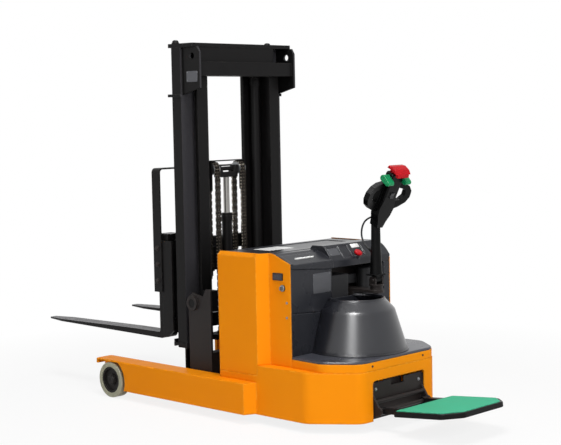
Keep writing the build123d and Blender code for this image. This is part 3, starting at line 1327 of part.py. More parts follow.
with BuildPart() as tiller_turret:
    bar((TILLER_X, TILLER_DEPTH, TURRET_LOW), (0, 0, 1), TURRET_TOP - TURRET_LOW, STEER_RADIUS)
    bar((TILLER_X, TILLER_DEPTH, TURRET_SEAT), (0, 0, 1), TURRET_TOP - TURRET_SEAT, TURRET_RADIUS)
    for s in (-1, 1):
        with BuildSketch(Plane.YZ.offset(TILLER_X + s * LUG_IN)):
            with Locations(side((TILLER_DEPTH, (LUG_LOW + TILT_Z) / 2))[0]):
                Rectangle(2 * LUG_RADIUS, TILT_Z - LUG_LOW)
            with Locations(side((TILLER_DEPTH, TILT_Z))[0]):
                Circle(LUG_RADIUS)
        extrude(amount=s * LUG_THICK)
    bar((TILLER_X - TILT_PIN_HALF, TILLER_DEPTH, TILT_Z), (1, 0, 0), 2 * TILT_PIN_HALF, TILT_PIN)
keep(tiller_turret, "tiller_turret")

ARM_FOOT = 35
ARM_WAIST = 27
ARM_TIP = 24
WAIST_Z = 930
CABLE_RADIUS = 5
CABLE_ROUTE = ((298, 1089), (344, 1076), (379, 1037), (389, 982), (370, 934), (332, 907))
CABLE_SHARE = 0.45
GLAND_TIP = 6
GLAND_RUN = 36
GLAND_TAPER = 6

cable_points = [Vector(TILLER_X, ahead(depth), z) for depth, z in CABLE_ROUTE]
cable_runs = [end - start for start, end in zip(cable_points, cable_points[1:])]
cable_bends = [
    CABLE_SHARE * min(before.length, after.length) / tan(radians(before.get_angle(after) / 2))
    for before, after in zip(cable_runs, cable_runs[1:])
]
print("cable bend radii", [round(bend) for bend in cable_bends])
head_gland = Plane(cable_points[0], z_dir=cable_runs[0] * -1)
arm_gland = Plane(cable_points[-1], z_dir=cable_runs[-1])

with BuildPart() as tiller_arm:
    with BuildSketch(Plane.XY.offset(FOOT_LOW)) as foot:
        with Locations((TILLER_X, ahead(TILLER_DEPTH))):
            Rectangle(*FOOT_SIZE)
        fillet(foot.vertices(), FOOT_CORNER)
    extrude(amount=FOOT_TOP - FOOT_LOW)
    with BuildSketch(Plane.YZ.offset(TILLER_X)):
        with BuildLine():
            Polyline(
                side((TILLER_DEPTH, FOOT_TOP), (TILLER_DEPTH + ARM_FOOT, FOOT_TOP))
                + side((TILLER_DEPTH + ARM_WAIST, WAIST_Z), (TILLER_DEPTH + ARM_TIP, HEAD_Z))
                + side((TILLER_DEPTH, HEAD_Z)),
                close=True,
            )
        make_face()
    revolve(axis=Axis((TILLER_X, ahead(TILLER_DEPTH), 0), (0, 0, 1)))
    split(bisect_by=Plane(head_plane.from_local_coords((0, HEAD_BASE, 0)), z_dir=head_v), keep=Keep.BOTTOM)
    with BuildSketch(arm_gland):
        Circle(GLAND_TIP)
    extrude(amount=GLAND_RUN, taper=-GLAND_TAPER)
    shank_x = (TILLER_X - SHANK_HALF[0], TILLER_X + SHANK_HALF[0])
    block(shank_x, (TILLER_DEPTH - SHANK_HALF[1], TILLER_DEPTH + SHANK_HALF[1]), (TILT_Z, FOOT_LOW))
    barrel_start = (TILLER_X - BARREL_HALF, TILLER_DEPTH, TILT_Z)
    bar(barrel_start, (1, 0, 0), 2 * BARREL_HALF, TILT_BARREL)
    bar(barrel_start, (1, 0, 0), 2 * BARREL_HALF, TILT_PIN + FIT, Mode.SUBTRACT)
keep(tiller_arm, "tiller_arm")

# Head: spine with a flared neck and two swept hand loops
SPINE_HALF_THICK = 28
SPINE_CORNER = 14
SPINE_EDGE = 10
LOOP_CORNER = 12
LOOP_SWEEP = 9
LOOP_ROOT = -24
LOOP_THICK = 30
SPINE = ((24, HEAD_BASE), (33, -55), (52, -15), (60, 25), (50, 70), (50, HEAD_TOP))
LOOP = ((0, 0), (60, 0), (118, 22), (165, 52), (184, 86), (181, 124), (155, 153), (112, 170), (0, 176))
WINDOW = ((82, 60), (118, 64), (142, 90), (140, 118), (124, 134), (82, 140))
CAP_SLOT = (82, 40, 30)
ROCKER_V = 110
ROCKER_N = 24
ROCKER_PIN = 4
ROCKER_PIN_RUN = 36
ROCKER_POCKET = (30, 36)
ROCKER_FLOOR = ROCKER_N - 7
SHAFT_RUN = 120


def mirrored(points, t):
    """Points with their first value given the sign of a side."""
    return [(t * u, v) for u, v in points]


def loop_plane(t):
    """Middle plane of the hand loop on one side, swept back from the spine."""
    sweep_angle = radians(LOOP_SWEEP)
    out = Vector(cos(sweep_angle), t * sin(sweep_angle) * head_n[1], t * sin(sweep_angle) * head_n[2])
    return Plane(head_plane.offset(LOOP_ROOT).origin, x_dir=out, z_dir=out.cross(Vector(*head_v)))


with BuildPart() as tiller_head:
    with BuildSketch(head_plane.offset(-SPINE_HALF_THICK)) as spine:
        with BuildLine():
            Polyline(*mirrored(SPINE, 1), *reversed(mirrored(SPINE, -1)), close=True)
        make_face()
        fillet(spine.vertices().group_by(Axis.Y)[-1], SPINE_CORNER)
    extrude(amount=2 * SPINE_HALF_THICK)
    fillet(tiller_head.edges().filter_by(Axis(head_plane.origin, head_v)), SPINE_EDGE)
    for t in (-1, 1):
        with BuildSketch(loop_plane(t).offset(-LOOP_THICK / 2)) as loop:
            with BuildLine():
                Polyline(*mirrored(LOOP, t), close=True)
            make_face()
            loop_corners = loop.vertices().sort_by(Axis.X)
            fillet(loop_corners[:-2] if t < 0 else loop_corners[2:], LOOP_CORNER)
            with BuildLine():
                Polyline(*mirrored(WINDOW, t), close=True)
            make_face(mode=Mode.SUBTRACT)
        extrude(amount=LOOP_THICK)
    with BuildSketch(head_plane.offset(-CAP_SLOT[2] / 2)):
        with Locations((0, HEAD_TOP)):
            Rectangle(*CAP_SLOT[:2])
    extrude(amount=CAP_SLOT[2], mode=Mode.SUBTRACT)
    with BuildSketch(head_plane.offset(ROCKER_FLOOR)):
        with Locations((0, ROCKER_V)):
            Rectangle(*ROCKER_POCKET)
    extrude(amount=SPINE_HALF_THICK - ROCKER_FLOOR, mode=Mode.SUBTRACT)
    with Locations(head_plane):
        with Locations((0, THROTTLE_V, 0)):
            Cylinder(SHAFT_RADIUS + FIT, SHAFT_RUN + 40, rotation=(0, 90, 0), mode=Mode.SUBTRACT)
        with Locations((0, ROCKER_V, ROCKER_N)):
            Cylinder(ROCKER_PIN + FIT, ROCKER_PIN_RUN + 2, rotation=(0, 90, 0), mode=Mode.SUBTRACT)
    with BuildSketch(head_gland):
        Circle(GLAND_TIP)
    extrude(amount=GLAND_RUN, taper=-GLAND_TAPER)
keep(tiller_head, "tiller_head")

THROTTLE_X = 52
THROTTLE_WIDTH = 46
THROTTLE_HUB = 18
LOBE_PLACE = (THROTTLE_V - 14, 40)
LOBE_RADIUS = 14
LOBE_EDGE = 5

with BuildPart() as throttle:
    for t in (-1, 1):
        with BuildSketch(head_side.offset(t * THROTTLE_X)):
            with Locations((THROTTLE_V, 0)):
                Circle(THROTTLE_HUB)
            with Locations(LOBE_PLACE):
                Circle(LOBE_RADIUS)
            make_hull()
        extrude(amount=t * THROTTLE_WIDTH)
    lobe_ends = throttle.faces().filter_by(Plane.YZ).sort_by(Axis.X)
    fillet(lobe_ends[0].edges() + lobe_ends[-1].edges(), LOBE_EDGE)
    with Locations(head_plane):
        with Locations((0, THROTTLE_V, 0)):
            Cylinder(SHAFT_RADIUS, SHAFT_RUN, rotation=(0, 90, 0))
keep(throttle, "throttle")

CAP_HALF = 60
CAP_OUTER = ((20, -24), (34, -18), (39, 6), (31, 34), (10, 54))
CAP_INNER = ((-8, 58), (-8, 44), (8, 38), (18, 24), (20, 0))
CAP_NOTCH = (24, 36)
CAP_NOTCH_LOW = 30
CAP_EDGE = 6
CAP_TONGUE = (76, 38, 24)
CAP_TONGUE_RISE = 8

with BuildPart() as belly_button:
    with BuildSketch(head_side.offset(-CAP_HALF)) as cap:
        with BuildLine():
            Polyline(*[(HEAD_TOP + rise, n) for rise, n in CAP_OUTER + CAP_INNER], close=True)
        make_face()
    extrude(amount=2 * CAP_HALF)
    for t in (-1, 1):
        with BuildSketch(head_plane.offset(CAP_NOTCH_LOW)):
            with Locations((t * CAP_HALF, HEAD_TOP + CAP_INNER[0][0])):
                Rectangle(*CAP_NOTCH)
        extrude(amount=CAP_INNER[0][1] - CAP_NOTCH_LOW, mode=Mode.SUBTRACT)
    ends = belly_button.faces().filter_by(Plane.YZ).sort_by(Axis.X)
    end_edges = ends[0].edges() + ends[-1].edges()
    crown = (HEAD_TOP + CAP_OUTER[0][0] + 2, HEAD_TOP + CAP_OUTER[2][0] + 1)
    fillet(end_edges.filter_by_position(Axis(head_plane.origin, head_v), *crown), CAP_EDGE)
    with BuildSketch(head_plane.offset(-CAP_TONGUE[2] / 2)):
        with Locations((0, HEAD_TOP + CAP_TONGUE_RISE)):
            Rectangle(*CAP_TONGUE[:2])
    extrude(amount=CAP_TONGUE[2])
keep(belly_button, "belly_button")

ROCKER_HALF = 14
ROCKER_SIDE = ((-16, -3), (16, -3), (16, 11), (0, 8), (-16, 11))

with BuildPart() as lift_rocker:
    with BuildSketch(head_side.offset(-ROCKER_HALF)):
        with BuildLine():
            Polyline(*[(ROCKER_V + v, ROCKER_N + n) for v, n in ROCKER_SIDE], close=True)
        make_face()
    extrude(amount=2 * ROCKER_HALF)
    with Locations(head_plane):
        with Locations((0, ROCKER_V, ROCKER_N)):
            Cylinder(ROCKER_PIN, ROCKER_PIN_RUN, rotation=(0, 90, 0))
keep(lift_rocker, "lift_rocker")

# Control cable: one tube from the gland on the head to the gland on the arm
with BuildPart() as tiller_cable:
    with BuildLine() as cable_path:
        FilletPolyline(*cable_points, radius=cable_bends)
    with BuildSketch(Plane(cable_path.line @ 0, z_dir=cable_path.line % 0)):
        Circle(CABLE_RADIUS)
    sweep(path=cable_path.line)
keep(tiller_cable, "tiller_cable")

# Folding platform: hinge bracket on the chassis, pan with two arms, rubber mat
slope = radians(PLATFORM_SLOPE)
platform_plane = Plane(
    origin=(0, ahead(HINGE_DEPTH), HINGE_Z), x_dir=(1, 0, 0), z_dir=(0, sin(slope), cos(slope))
)
PAN_FRONT = -130
PAN_REAR = (PLATFORM_END - HINGE_DEPTH + PLATFORM_THICK / 2 * sin(slope)) / cos(slope)
PAN_CUT = 84
PAN_WALL = 12
HINGE_PIN = 10
HINGE_BARREL = 20
ARM_X = 176
ARM_WIDTH = 36
ARM_THICK = 26
MAT_THICK = 4
PAN_REAR_RADIUS = 44
PAN_FRONT_RADIUS = 16
PAN_EDGE = 5
PLATE_DEPTH = (12, 18)
PLATE_HALF = 212
PLATE_LOW = 58
PLATE_TOP = 250
PLATE_CORNER = 10
NOTCH_HALF = 52
NOTCH_LOW = 218
BACKING_HALF = 72
BACKING_DEPTH = (46, 52)
BACKING_LOW = 210
BACKING_TOP = 270
BRACKET_LUG_X = 198
BRACKET_LUG_THICK = 12
BRACKET_LUG_Z = (70, 190)
BRACKET_EYE = 22
CROSS_BAR = (-2, 150)
CROSS_BAR_RADIUS = 11

with BuildPart() as platform_bracket:
    with BuildSketch(Plane.XZ.offset(-ahead(PLATE_DEPTH[0]))) as plate:
        with Locations((0, (PLATE_LOW + PLATE_TOP) / 2)):
            Rectangle(2 * PLATE_HALF, PLATE_TOP - PLATE_LOW)
        fillet(plate.vertices().group_by(Axis.Y)[-1], PLATE_CORNER)
        with Locations((0, (NOTCH_LOW + PLATE_TOP) / 2)):
            Rectangle(2 * NOTCH_HALF, PLATE_TOP - NOTCH_LOW, mode=Mode.SUBTRACT)
    extrude(amount=PLATE_DEPTH[0] - PLATE_DEPTH[1])
    backing_x = (-BACKING_HALF, BACKING_HALF)
    shelf = (BACKING_LOW, BACKING_LOW + PLATE_DEPTH[1] - PLATE_DEPTH[0])
    block(backing_x, (PLATE_DEPTH[1], BACKING_DEPTH[1]), shelf)
    block(backing_x, BACKING_DEPTH, (shelf[1], BACKING_TOP))
    for s in (-1, 1):
        cheek_x = (s * PLATE_HALF, s * (OPENING_HALF + 6))
        block(cheek_x, (WALL, BACKING_DEPTH[0]), (PLATE_LOW, PLATE_TOP - PLATE_CORNER))
        with BuildSketch(Plane.YZ.offset(s * BRACKET_LUG_X)):
            with BuildLine():
                Polyline(
                    side((PLATE_DEPTH[0], BRACKET_LUG_Z[0]), (PLATE_DEPTH[0], BRACKET_LUG_Z[1]))
                    + side((HINGE_DEPTH, HINGE_Z + BRACKET_EYE), (HINGE_DEPTH, HINGE_Z - BRACKET_EYE)),
                    close=True,
                )
            make_face()
            with Locations(side((HINGE_DEPTH, HINGE_Z))[0]):
                Circle(BRACKET_EYE)
        extrude(amount=s * BRACKET_LUG_THICK)
    pin_half = BRACKET_LUG_X + BRACKET_LUG_THICK
    bar((-pin_half, HINGE_DEPTH, HINGE_Z), (1, 0, 0), 2 * pin_half, HINGE_PIN)
    bar((-BRACKET_LUG_X, *CROSS_BAR), (1, 0, 0), 2 * BRACKET_LUG_X, CROSS_BAR_RADIUS)
keep(platform_bracket, "platform_bracket")


def pan_face(inset, radius):
    """Plan of the platform with cut and rounded rear corners, drawn in by an inset."""
    half = PLATFORM_HALF - inset
    front = PAN_FRONT - inset
    rear = PAN_REAR + inset
    with BuildSketch(mode=Mode.PRIVATE) as face:
        with BuildLine():
            Polyline(
                (-half, front), (half, front), (half, rear + PAN_CUT), (half - PAN_CUT, rear),
                (PAN_CUT - half, rear), (-half, rear + PAN_CUT), close=True,
            )
        make_face()
        fillet(face.vertices().sort_by(Axis.Y)[:4], PAN_REAR_RADIUS - inset)
        fillet(face.vertices().sort_by(Axis.Y)[-2:], radius)
    return face.sketch


with BuildPart() as platform_pan:
    with BuildSketch(platform_plane.offset(-PLATFORM_THICK / 2)):
        add(pan_face(0, PAN_FRONT_RADIUS))
    extrude(amount=PLATFORM_THICK)
    fillet(platform_pan.faces().sort_by(Axis.Z)[0].edges(), PAN_EDGE)
    with BuildSketch(platform_plane.offset(-PLATFORM_THICK / 2)):
        add(pan_face(PAN_WALL, PAN_FRONT_RADIUS / 2))
    extrude(amount=PLATFORM_THICK - PAN_WALL, mode=Mode.SUBTRACT)
    for s in (-1, 1):
        with BuildSketch(platform_plane.offset(-ARM_THICK / 2)):
            with Locations((s * ARM_X, PAN_FRONT / 2)):
                Rectangle(ARM_WIDTH, PAN_WALL - PAN_FRONT)
        extrude(amount=ARM_THICK)
        barrel_start = (s * (ARM_X - ARM_WIDTH / 2), HINGE_DEPTH, HINGE_Z)
        bar(barrel_start, (s, 0, 0), ARM_WIDTH, HINGE_BARREL)
        bar(barrel_start, (s, 0, 0), ARM_WIDTH, HINGE_PIN + FIT, Mode.SUBTRACT)
keep(platform_pan, "platform_pan")

with BuildPart() as platform_mat:
    with BuildSketch(platform_plane.offset(PLATFORM_THICK / 2)):
        add(pan_face(PAN_WALL, PAN_FRONT_RADIUS / 2))
    extrude(amount=MAT_THICK)
keep(platform_mat, "platform_mat")
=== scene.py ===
# %% [markdown]
# # Electric stacker: finishes, cable, chains, fasteners and light
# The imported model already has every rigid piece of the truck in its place. This lesson leaves those
# solids where they are, gives each the finish of the real one, adds the small pieces that a solid
# model leaves out, and sets up the camera and the studio.

# %% Load the truck
import json
import math

import bmesh
import bpy
from mathutils import Matrix, Vector


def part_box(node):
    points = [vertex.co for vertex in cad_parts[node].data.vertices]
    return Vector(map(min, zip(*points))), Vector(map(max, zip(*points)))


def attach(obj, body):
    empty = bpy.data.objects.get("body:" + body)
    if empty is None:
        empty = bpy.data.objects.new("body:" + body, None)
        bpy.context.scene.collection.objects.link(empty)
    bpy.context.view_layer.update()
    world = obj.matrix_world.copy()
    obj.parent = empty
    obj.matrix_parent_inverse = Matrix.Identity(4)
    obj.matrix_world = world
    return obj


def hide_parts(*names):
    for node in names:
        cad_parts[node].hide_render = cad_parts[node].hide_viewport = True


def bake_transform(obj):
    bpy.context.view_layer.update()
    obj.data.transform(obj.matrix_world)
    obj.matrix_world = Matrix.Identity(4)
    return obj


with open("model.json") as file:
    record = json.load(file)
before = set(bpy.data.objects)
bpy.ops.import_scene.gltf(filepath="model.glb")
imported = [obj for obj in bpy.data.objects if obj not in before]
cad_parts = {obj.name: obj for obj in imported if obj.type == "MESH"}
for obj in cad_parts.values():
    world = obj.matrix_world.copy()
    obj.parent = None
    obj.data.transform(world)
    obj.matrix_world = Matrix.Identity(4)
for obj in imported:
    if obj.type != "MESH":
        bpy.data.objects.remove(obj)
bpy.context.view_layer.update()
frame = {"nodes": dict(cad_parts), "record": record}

# %% [markdown]
# ## Places on the truck
# Places are given as on a workshop drawing, in millimetres: across from the centre line, ahead of the
# chassis's rear face, and up from the floor. The rear face is read from the chassis itself, so the
# pieces stay on the truck if the truck is moved. One function turns a place into Blender's metres.

# %% Truck places
CHASSIS_REAR = round(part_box("chassis_tub")[0][1] * 1000, 1)
SIDES = (-1, 1)
RIGHT, AHEAD, UP = Vector((1, 0, 0)), Vector((0, 1, 0)), Vector((0, 0, 1))


def spot(across, ahead, up):
    """A place on the truck, given in millimetres, as a vector in metres."""
    return Vector((across, CHASSIS_REAR + ahead, up)) / 1000


print("rear face of the chassis at", CHASSIS_REAR, "mm")

# %% [markdown]
# ## Camera
# The photograph is taken from behind the left rear corner with a long lens, at about eye height. A
# camera can be aimed with a constraint, but here its own axes are known, so they are written down and
# become its matrix directly.

# %% Photograph camera
CAMERA_PLACE = spot(-5562, -4515, 1668)
CAMERA_RIGHT = Vector((0.6935, -0.7203, -0.0191))
CAMERA_UP = Vector((0.0714, 0.0422, 0.9966))
LENS_MM = 87.1
SENSOR_MM = 36

lens = bpy.data.cameras.new("photograph_lens")
lens.lens = LENS_MM
lens.sensor_width = SENSOR_MM
camera = bpy.data.objects.new("photograph_camera", lens)
bpy.context.collection.objects.link(camera)
camera_axes = Matrix((CAMERA_RIGHT, CAMERA_UP, CAMERA_RIGHT.cross(CAMERA_UP))).transposed()
camera.matrix_world = Matrix.Translation(CAMERA_PLACE) @ camera_axes.to_4x4()
bpy.context.scene.camera = camera
print("camera at", [round(value, 2) for value in CAMERA_PLACE])

# %% [markdown]
# ## Material helpers
# Colours are picked as sRGB hex values, as on a paint card, and one function turns them to the linear
# light that shaders work in. A second function adds a node, sets its values and links its inputs, so
# that a material reads as a short list. A third gives the scale of a pattern from its real size.

# %% Colour and node helpers
def linear(hex_colour):
    """An sRGB hex colour as linear RGBA."""
    channels = [int(hex_colour[place:place + 2], 16) / 255 for place in (0, 2, 4)]
    return [c / 12.92 if c <= 0.04045 else ((c + 0.055) / 1.055) ** 2.4 for c in channels] + [1]


def add(tree, kind, settings=None, **inputs):
    """Add a node. Settings are its properties. An input is named by its label, or by i and its
    number, and takes a value or another node's output."""
    node = tree.nodes.new(kind)
    for name, value in (settings or {}).items():
        setattr(node, name, value)
    for name, value in inputs.items():
        numbered = name[0] == "i" and name[1:].isdigit()
        label = name.replace("_", " ").title().replace("Ior", "IOR")
        socket = node.inputs[int(name[1:]) if numbered else label]
        if isinstance(value, bpy.types.NodeSocket):
            tree.links.new(value, socket)
        else:
            socket.default_value = value
    return node


def per_mm(size_mm):
    """The scale of a pattern whose features are that many millimetres wide, in metre coordinates."""
    return 1000 / size_mm


def empty_material(name):
    """A material with no nodes yet, and its node tree."""
    material = bpy.data.materials.new(name)
    material.use_nodes = True
    material.node_tree.nodes.clear()
    return material, material.node_tree


print("middle grey in linear light:", [round(c, 3) for c in linear("808080")])

# %% [markdown]
# ## One recipe for worked surfaces
# Paint, plastic and steel differ in what the eye reads: how even the colour is, how the gloss drifts
# over a hand's width, how rough the skin is close up, and what shows where edges are rubbed. One
# recipe takes these as sizes in millimetres and colours. Edges are found with a Bevel node, whose
# normal leaves the face's own near an edge, so no edge has to be marked by hand, and the same normal
# gives a folded sheet its small round edge.

# %% Surface recipe
PATCH_DETAIL, SCUFF_DETAIL, GRAIN_DETAIL = 5.0, 4.0, 2.0
EDGE_SAMPLES = 4
EDGE_SHOWS = (0.995, 0.86)
RUB_SHOWS = (0.42, 0.62)
RUB_MM = 26
GLOSS_SHOWS = (0.3, 0.7)
GRAIN_STRENGTH = 0.6


def surface(name, light, dark, worn, roughness, patch_mm, grain_mm, grain_depth_mm, edge_mm,
            gloss_drift=0.05, stretch=(1, 1, 1), **shader):
    """A finish whose colour drifts over patch_mm, with grain_mm bumps and rubbed edges."""
    material, tree = empty_material(name)
    place = add(tree, "ShaderNodeTexCoord").outputs["Object"]
    drawn = add(tree, "ShaderNodeMapping", vector=place, scale=stretch).outputs["Vector"]
    patches = add(tree, "ShaderNodeTexNoise", vector=drawn, scale=per_mm(patch_mm),
                  detail=PATCH_DETAIL)
    colour = add(tree, "ShaderNodeMix", {"data_type": "RGBA"}, i0=patches.outputs["Fac"],
                 i6=linear(dark), i7=linear(light))
    round_edge = add(tree, "ShaderNodeBevel", {"samples": EDGE_SAMPLES}, radius=edge_mm / 1000)
    face = add(tree, "ShaderNodeNewGeometry")
    turn = add(tree, "ShaderNodeVectorMath", {"operation": "DOT_PRODUCT"},
               i0=round_edge.outputs["Normal"], i1=face.outputs["Normal"])
    edge = add(tree, "ShaderNodeMapRange", value=turn.outputs["Value"],
               from_min=EDGE_SHOWS[0], from_max=EDGE_SHOWS[1])
    scuffs = add(tree, "ShaderNodeTexNoise", vector=place, scale=per_mm(RUB_MM), detail=SCUFF_DETAIL)
    rubbed = add(tree, "ShaderNodeMapRange", value=scuffs.outputs["Fac"],
                 from_min=RUB_SHOWS[0], from_max=RUB_SHOWS[1])
    wear = add(tree, "ShaderNodeMath", {"operation": "MULTIPLY"},
               i0=edge.outputs["Result"], i1=rubbed.outputs["Result"])
    aged = add(tree, "ShaderNodeMix", {"data_type": "RGBA"}, i0=wear.outputs["Value"],
               i6=colour.outputs[2], i7=linear(worn))
    gloss = add(tree, "ShaderNodeMapRange", value=patches.outputs["Fac"],
                from_min=GLOSS_SHOWS[0], from_max=GLOSS_SHOWS[1],
                to_min=roughness - gloss_drift, to_max=roughness + gloss_drift)
    grain = add(tree, "ShaderNodeTexNoise", vector=drawn, scale=per_mm(grain_mm), detail=GRAIN_DETAIL)
    bump = add(tree, "ShaderNodeBump", height=grain.outputs["Fac"], strength=GRAIN_STRENGTH,
               distance=grain_depth_mm / 1000, normal=round_edge.outputs["Normal"])
    skin = add(tree, "ShaderNodeBsdfPrincipled", base_color=aged.outputs[2],
               roughness=gloss.outputs["Result"], normal=bump.outputs["Normal"], **shader)
    add(tree, "ShaderNodeOutputMaterial", surface=skin.outputs["BSDF"])
    return material


finishes = {}
print("recipe ready, edges drawn from", EDGE_SHOWS)

# %% [markdown]
# ## Powder-coated and enamelled steel
# The chassis is folded sheet, sprayed with orange powder and baked, so its colour is even and its skin
# has a faint orange peel. Frame parts get the same in black. The mast is hot-rolled section brushed
# with black enamel, which shows the rolling as long upright streaks. Edges are drawn a few millimetres
# wide, coarser than a real fold, because a finer line would not show at this distance.

# %% Painted steel
# Orange powder coat: strong even colour, soft gloss, lighter where corners have been rubbed.
finishes["orange_paint"] = surface(
    "orange_powder_coat", light="F2910D", dark="EC8A0B", worn="F8A834", roughness=0.42,
    patch_mm=420, grain_mm=5, grain_depth_mm=0.04, edge_mm=11, specular_ior_level=0.04)
# Black powder coat on brackets and inner frames: a warm, even black with grey rubbed corners.
finishes["frame_paint"] = surface(
    "black_powder_coat", light="2B2625", dark="201C1B", worn="4E4844", roughness=0.46,
    patch_mm=200, grain_mm=4, grain_depth_mm=0.06, edge_mm=3, specular_ior_level=0.15)
# Mast enamel: satin black with upright streaks from the rolled section, steel grey on its edges.
finishes["mast_paint"] = surface(
    "black_mast_enamel", light="131212", dark="0C0B0C", worn="363431", roughness=0.4,
    patch_mm=60, grain_mm=9, grain_depth_mm=0.08, edge_mm=4, gloss_drift=0.08,
    stretch=(1, 1, 0.12), specular_ior_level=0.11)
print(len(finishes), "painted finishes")

# %% [markdown]
# ## Moulded plastics
# Covers, dash and hood are ABS from a lightly grained mould: dark grey and half glossy, so they shine
# white where they are seen at a low angle. The dome is thermoformed from the same sheet and is
# smoother. The tiller is glass-filled nylon, nearly black. Buttons are dyed through, so their edges
# wear lighter instead of showing another material. Each could be painted from a picture, but even
# mouldings need only a colour, a gloss and a grain, so the recipe makes them all.

# %% Cover plastics
# Grained ABS: fine pebble about 2 mm wide, drawn coarser than the real half millimetre.
finishes["cover_plastic"] = surface(
    "grained_abs_cover", light="25262B", dark="1F2025", worn="3A3B41", roughness=0.28,
    patch_mm=260, grain_mm=2, grain_depth_mm=0.03, edge_mm=9, specular_ior_level=0.24)
# Thermoformed ABS with its glossy cap layer: smooth, with a slow waviness that draws out highlights.
finishes["dome_plastic"] = surface(
    "thermoformed_abs_dome", light="17181F", dark="13141A", worn="22232B", roughness=0.31,
    patch_mm=300, grain_mm=60, grain_depth_mm=0.1, edge_mm=30, specular_ior_level=0.5,
    coat_weight=0.35, coat_roughness=0.27)
# Moulded polypropylene: waxy dark grey that scatters light and shows no clear reflection.
finishes["battery_case"] = surface(
    "polypropylene_case", light="2A2A2C", dark="202022", worn="48484B", roughness=0.55,
    patch_mm=180, grain_mm=2, grain_depth_mm=0.05, edge_mm=3, specular_ior_level=0.3)
print(len(finishes), "finishes with the covers")

# %% Control plastics
# Glass-filled nylon: dull black with cloudy flow marks.
finishes["tiller_plastic"] = surface(
    "glass_filled_nylon", light="09090A", dark="060606", worn="222224", roughness=0.36,
    patch_mm=70, grain_mm=4, grain_depth_mm=0.03, edge_mm=3, specular_ior_level=0.09)
# Polycarbonate: a hard violet-black bezel with a fairly clear shine.
finishes["display_plastic"] = surface(
    "polycarbonate_bezel", light="1E1C20", dark="151417", worn="3C3A40", roughness=0.32,
    patch_mm=60, grain_mm=2, grain_depth_mm=0.02, edge_mm=2, specular_ior_level=0.35)
# Acetal, dyed green, red or grey: a deep even colour with a soft, slippery sheen.
finishes["green_plastic"] = surface(
    "green_acetal", light="189059", dark="127A4A", worn="3FA576", roughness=0.34,
    patch_mm=50, grain_mm=6, grain_depth_mm=0.01, edge_mm=2, specular_ior_level=0.16)
finishes["red_plastic"] = surface(
    "red_acetal", light="B8161F", dark="A6111A", worn="DC3038", roughness=0.38,
    patch_mm=50, grain_mm=6, grain_depth_mm=0.01, edge_mm=2, specular_ior_level=0.08)
finishes["rocker_plastic"] = surface(
    "grey_acetal", light="2A2A2C", dark="202022", worn="6A6A6E", roughness=0.42,
    patch_mm=60, grain_mm=2, grain_depth_mm=0.03, edge_mm=2, specular_ior_level=0.35)
print(len(finishes), "finishes with the controls")

# %% [markdown]
# ## Rubber and tyres
# The standing mat is soft green rubber with a fine stipple for grip. Tyres are cast polyurethane,
# which greys and picks up grit. The cable has a dull black sheath. All three are rough and scatter
# light evenly, so their colour changes little as the view moves, and high roughness says most of it.

# %% Rubber and polyurethane
# Stippled rubber: matt pastel green, with pimples drawn 7 mm wide so that they show.
finishes["mat_rubber"] = surface(
    "stippled_rubber_mat", light="48BA92", dark="3CAE85", worn="74D2B0", roughness=0.72,
    patch_mm=90, grain_mm=7, grain_depth_mm=0.6, edge_mm=4, specular_ior_level=0.12)
# Cast polyurethane: grey-olive and slightly waxy, blotched where grit is pressed in.
finishes["polyurethane"] = surface(
    "cast_polyurethane", light="ACAA92", dark="8E8D79", worn="BCC0A8", roughness=0.5,
    patch_mm=45, grain_mm=4, grain_depth_mm=0.1, edge_mm=4, specular_ior_level=0.3)
# Extruded rubber sheath: dull black with a broad, weak highlight along its length.
finishes["cable_rubber"] = surface(
    "extruded_rubber_sheath", light="1D1D1F", dark="151517", worn="2C2C2F", roughness=0.55,
    patch_mm=40, grain_mm=2, grain_depth_mm=0.04, edge_mm=2, specular_ior_level=0.3)
print(len(finishes), "finishes with the rubbers")

# %% [markdown]
# ## Bare and oiled metal
# Rollers and bolts are turned or zinc-plated steel, cylinder rods are hard chromed, chains are dark
# with oil and wheel hubs are cast iron under thin paint. Metals keep the default index of refraction:
# their colour is the colour of their reflection, so they need something bright to reflect.

# %% Metals
# Turned steel: light grey, with a blurred reflection broken up by fine tool marks.
finishes["roller_steel"] = surface(
    "turned_steel", light="9A9B9D", dark="7E8082", worn="C4C5C7", roughness=0.34,
    patch_mm=30, grain_mm=1.5, grain_depth_mm=0.02, edge_mm=2, metallic=1.0)
# Hard chrome: a nearly clean mirror with faint lengthwise rub marks.
finishes["chrome_rod"] = surface(
    "hard_chrome_rod", light="A9A7A3", dark="8F8D8A", worn="C0BEBA", roughness=0.2,
    patch_mm=30, grain_mm=3, grain_depth_mm=0.004, edge_mm=2, stretch=(1, 1, 0.1), metallic=1.0)
# Oiled chain plates: a brown-black film with a dull shine, so they do not read as clean metal. The
# pins between them are pale, as painted highlight for the glints along the chain.
finishes["chain_steel"] = surface(
    "oiled_chain_steel", light="3A342D", dark="1C1916", worn="6E665C", roughness=0.4,
    patch_mm=14, grain_mm=2, grain_depth_mm=0.04, edge_mm=1, metallic=0.7)
finishes["chain_pins"] = surface(
    "pin_steel_painted_highlight", light="C2B8A8", dark="9A9184", worn="DDD5C8", roughness=0.34,
    patch_mm=12, grain_mm=2, grain_depth_mm=0.02, edge_mm=1, metallic=0.8)
# Cast iron under thin paint: brown-black, with the sandy skin of the casting still showing.
finishes["hub_iron"] = surface(
    "painted_cast_iron", light="1E1B19", dark="141210", worn="443F3A", roughness=0.52,
    patch_mm=35, grain_mm=4, grain_depth_mm=0.25, edge_mm=3, specular_ior_level=0.15)
